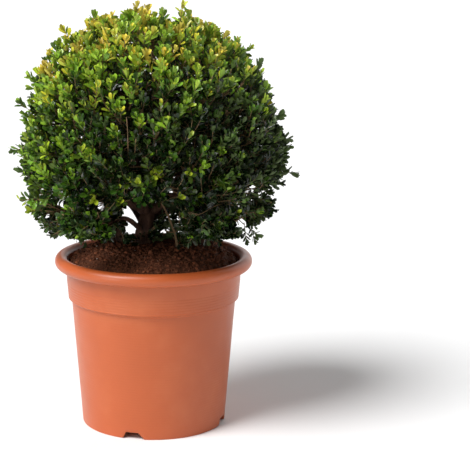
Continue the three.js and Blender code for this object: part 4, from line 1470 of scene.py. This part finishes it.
def leaf_body(edge, leaves, settings, rng):
    """Many leaves as one body, and the finish's number of each triangle."""
    template, corners = leaf_template(edge)
    direction, across = leaves["direction"], leaves["across"]
    count = len(direction)
    long = (leaves["size"] * settings.length)[:, None]
    wide = (leaves["size"] * settings.width * rng.uniform(*LEAF_WIDTH, count))[:, None]
    curl = rng.uniform(*LEAF_CURL, count)[:, None]
    places = leaves["foot"][:, None] + direction[:, None] * (template[:, 0] * long)[:, :, None]
    places += across[:, None] * (template[:, 1] * wide)[:, :, None]
    places += np.cross(direction, across)[:, None] * (template[:, 2] * curl * long)[:, :, None]
    kinds = np.tile(leaves["shade"][:, None], (1, len(corners)))
    kinds[:, len(edge) :] = len(SHADE_SHARES)
    return (places.reshape(-1, 3), repeated(corners, count, len(template))), kinds.ravel()


def kind_finishes(name, colour):
    """Three shades of a kind of leaf, and its paler underside."""
    finishes = []
    for shade, factors in (GOLD_TINTS if name == "gold" else TINTS).items():
        tone = tuple(channel * factor for channel, factor in zip(colour, factors))
        finishes.append(leaf_finish(f"leaf_{name}_{shade}", tone))
    under = blended(colour, LEAF_UNDERSIDE, LEAF_UNDERSIDE_SHARE)
    return finishes + [leaf_finish(f"leaf_{name}_underside", under, LEAF_UNDERSIDE_ROUGHNESS)]


class OBJECT_OT_box_ball_leaves(bpy.types.Operator):
    """Put the leaves on the shoots, joined by colour"""

    bl_idname = "object.box_ball_leaves"
    bl_label = "Leaves"

    def execute(self, context):
        settings = context.scene.box_ball_leaves
        shoots, depth = all_shoots()
        rng = seeded(6)
        leaves = leaf_places(shoots, rng)
        own = leaves["shoot"]
        reach = leaves["direction"] * (leaves["size"] * settings.length)[:, None]
        tips, middles = leaves["foot"] + reach, leaves["foot"] + reach / 2
        allowance = np.clip(beyond_outline(shoots.ends) + SHOOT_TAIL, *LEAF_ALLOWANCE)[own]
        fits = over_pot(tips) & ((depth[own] == 1) | (tips[:, 2] > underside(tips)))
        fits &= beyond_outline(tips) < allowance
        fits |= own >= len(shoots.ends) - len(FURTHEST_TIPS) - len(LOWEST_SHOOTS)
        fits &= ~seen_open(middles, OPENING_MARGIN * rng.uniform(*OPENING_SPREAD, len(own)))
        shaded = np.maximum(between(shoots.ends[:, 2], SHADE_LEVELS), np.minimum(depth, 1))
        leaves["size"] *= 1 - SHADED_LEAF_LOSS * shaded[own]
        leaves["shade"] = rng.choice(len(SHADE_SHARES), len(shoots.ends), p=SHADE_SHARES)[own]
        leaves["kind"] = leaf_kinds(shoots, depth, leaves, rng)
        inner, upper = depth[own] > 0, leaves["foot"][:, 2] > PARTING
        places = {"upper": upper & ~inner, "lower": ~upper & ~inner, "inner": inner}
        for index, name in enumerate(LEAF_KINDS):
            finishes = kind_finishes(name, tuple(getattr(settings, name)))
            for place, there in places.items():
                chosen = fits & there & (leaves["kind"] == index)
                if not chosen.any():
                    continue
                some = {key: column[chosen] for key, column in leaves.items()}
                edge = PLAIN_LEAF_EDGE if place == "inner" or name == "deep" else LEAF_EDGE
                body, kinds = leaf_body(edge, some, settings, rng)
                piece = add_piece(f"{place}_leaves_{name}", body, finishes, MASSES, kinds)
                piece.data.set_sharp_from_angle(angle=math.radians(LEAF_SHARP_ANGLE))
        return {"FINISHED"}


def white_room(settings):
    """Light from white walls all round that fade up into a ceiling."""
    world = bpy.data.worlds.new("studio")
    world.use_nodes = True
    tree = world.node_tree
    background = tree.nodes["Background"].inputs
    background["Color"].default_value = (1, 1, 1, 1)
    direction = add_node(tree, "ShaderNodeTexCoord", "Generated", {})
    height = add_node(tree, "ShaderNodeSeparateXYZ", "Z", {"Vector": direction})
    top = math.sin(settings.wall_height)
    fade = {"Value": height, "From Min": 0, "From Max": top, "To Min": settings.wall, "To Max": settings.sky}
    brightness = add_node(tree, "ShaderNodeMapRange", "Result", fade, interpolation_type="SMOOTHSTEP")
    tree.links.new(brightness, background["Strength"])
    return world


class OBJECT_OT_box_ball_stage(bpy.types.Operator):
    """Set up the pale floor, the soft studio light and the camera"""

    bl_idname = "object.box_ball_stage"
    bl_label = "Floor, light and camera"

    def execute(self, context):
        scene, settings = context.scene, context.scene.box_ball_stage
        half, tone = FLOOR_SIZE / 2, tuple(settings.floor)
        mesh = bpy.data.meshes.new("floor")
        corners = [(-half, -half, 0), (half, -half, 0), (half, half, 0), (-half, half, 0)]
        mesh.from_pydata(corners, [], [(0, 1, 2, 3)])
        finish = Finish("pale_floor", tone, roughness=0.8, specular=0.2)
        finish.colour(finish.noise(scale=2, detail=3), (0.3, scaled(tone, 0.985)), (0.7, tone))
        mesh.materials.append(finish.material)
        floor = bpy.data.objects.new("floor", mesh)
        scene.collection.objects.link(floor)
        scene.world = white_room(settings)

        for name in ("key", "side", "edge"):
            light = bpy.data.lights.new(f"{name}_light", "SUN")
            light.energy = getattr(settings, name)
            light.angle = getattr(settings, f"{name}_softness")
            azimuth = math.degrees(getattr(settings, f"{name}_azimuth"))
            elevation = math.degrees(getattr(settings, f"{name}_elevation"))
            lamp = bpy.data.objects.new(f"{name}_light", light)
            lamp.rotation_euler = Vector(-compass(azimuth, elevation)).to_track_quat("-Z", "Y").to_euler()
            scene.collection.objects.link(lamp)

        camera = bpy.data.objects.new("camera", bpy.data.cameras.new("camera"))
        camera.data.lens = settings.lens
        camera.data.sensor_width = SENSOR_WIDTH
        camera.data.clip_end = VIEW_DEPTH
        camera.location = (0, -settings.distance, settings.height)
        aim = Euler((math.radians(90 - CAMERA_TILT), 0, math.radians(CAMERA_TURN))).to_matrix()
        camera.rotation_euler = (aim @ Euler((0, 0, math.radians(CAMERA_ROLL))).to_matrix()).to_euler()
        scene.collection.objects.link(camera)
        scene.camera = camera
        scene.view_settings.view_transform = "Standard"
        return {"FINISHED"}


class VIEW3D_PT_box_ball(bpy.types.Panel):
    """Buttons that make the parts of the potted box ball"""

    bl_label = "Box Ball"
    bl_idname = "VIEW3D_PT_box_ball"
    bl_space_type = "VIEW_3D"
    bl_region_type = "UI"
    bl_category = "Box Ball"

    def draw(self, context):
        for name, group, makers in STEPS:
            for maker in makers:
                self.layout.operator(maker.bl_idname)
            for key in group.__annotations__:
                self.layout.prop(getattr(context.scene, name), key)


# Each group of settings by its name on the scene, and the operators that read it
STEPS = (
    ("box_ball_pot", PotSettings, (OBJECT_OT_box_ball_pot,)),
    ("box_ball_soil", SoilSettings, (OBJECT_OT_box_ball_soil,)),
    ("box_ball_wood", WoodSettings, (OBJECT_OT_box_ball_limbs, OBJECT_OT_box_ball_twigs)),
    ("box_ball_leaves", LeafSettings, (OBJECT_OT_box_ball_leaves,)),
    ("box_ball_stage", StageSettings, (OBJECT_OT_box_ball_stage,)),
)
CLASSES = (*(cls for _, group, makers in STEPS for cls in (group, *makers)), VIEW3D_PT_box_ball)


def register():
    for cls in CLASSES:
        bpy.utils.register_class(cls)
    for name, group, _ in STEPS:
        setattr(bpy.types.Scene, name, bpy.props.PointerProperty(type=group))


def unregister():
    for name, _, _ in STEPS:
        delattr(bpy.types.Scene, name)
    for cls in reversed(CLASSES):
        bpy.utils.unregister_class(cls)


def main():
    register()
    bpy.ops.object.box_ball_pot()
    bpy.ops.object.box_ball_soil()
    bpy.ops.object.box_ball_limbs()
    bpy.ops.object.box_ball_twigs()
    bpy.ops.object.box_ball_leaves()
    bpy.ops.object.box_ball_stage()


if __name__ == "__main__":
    main()
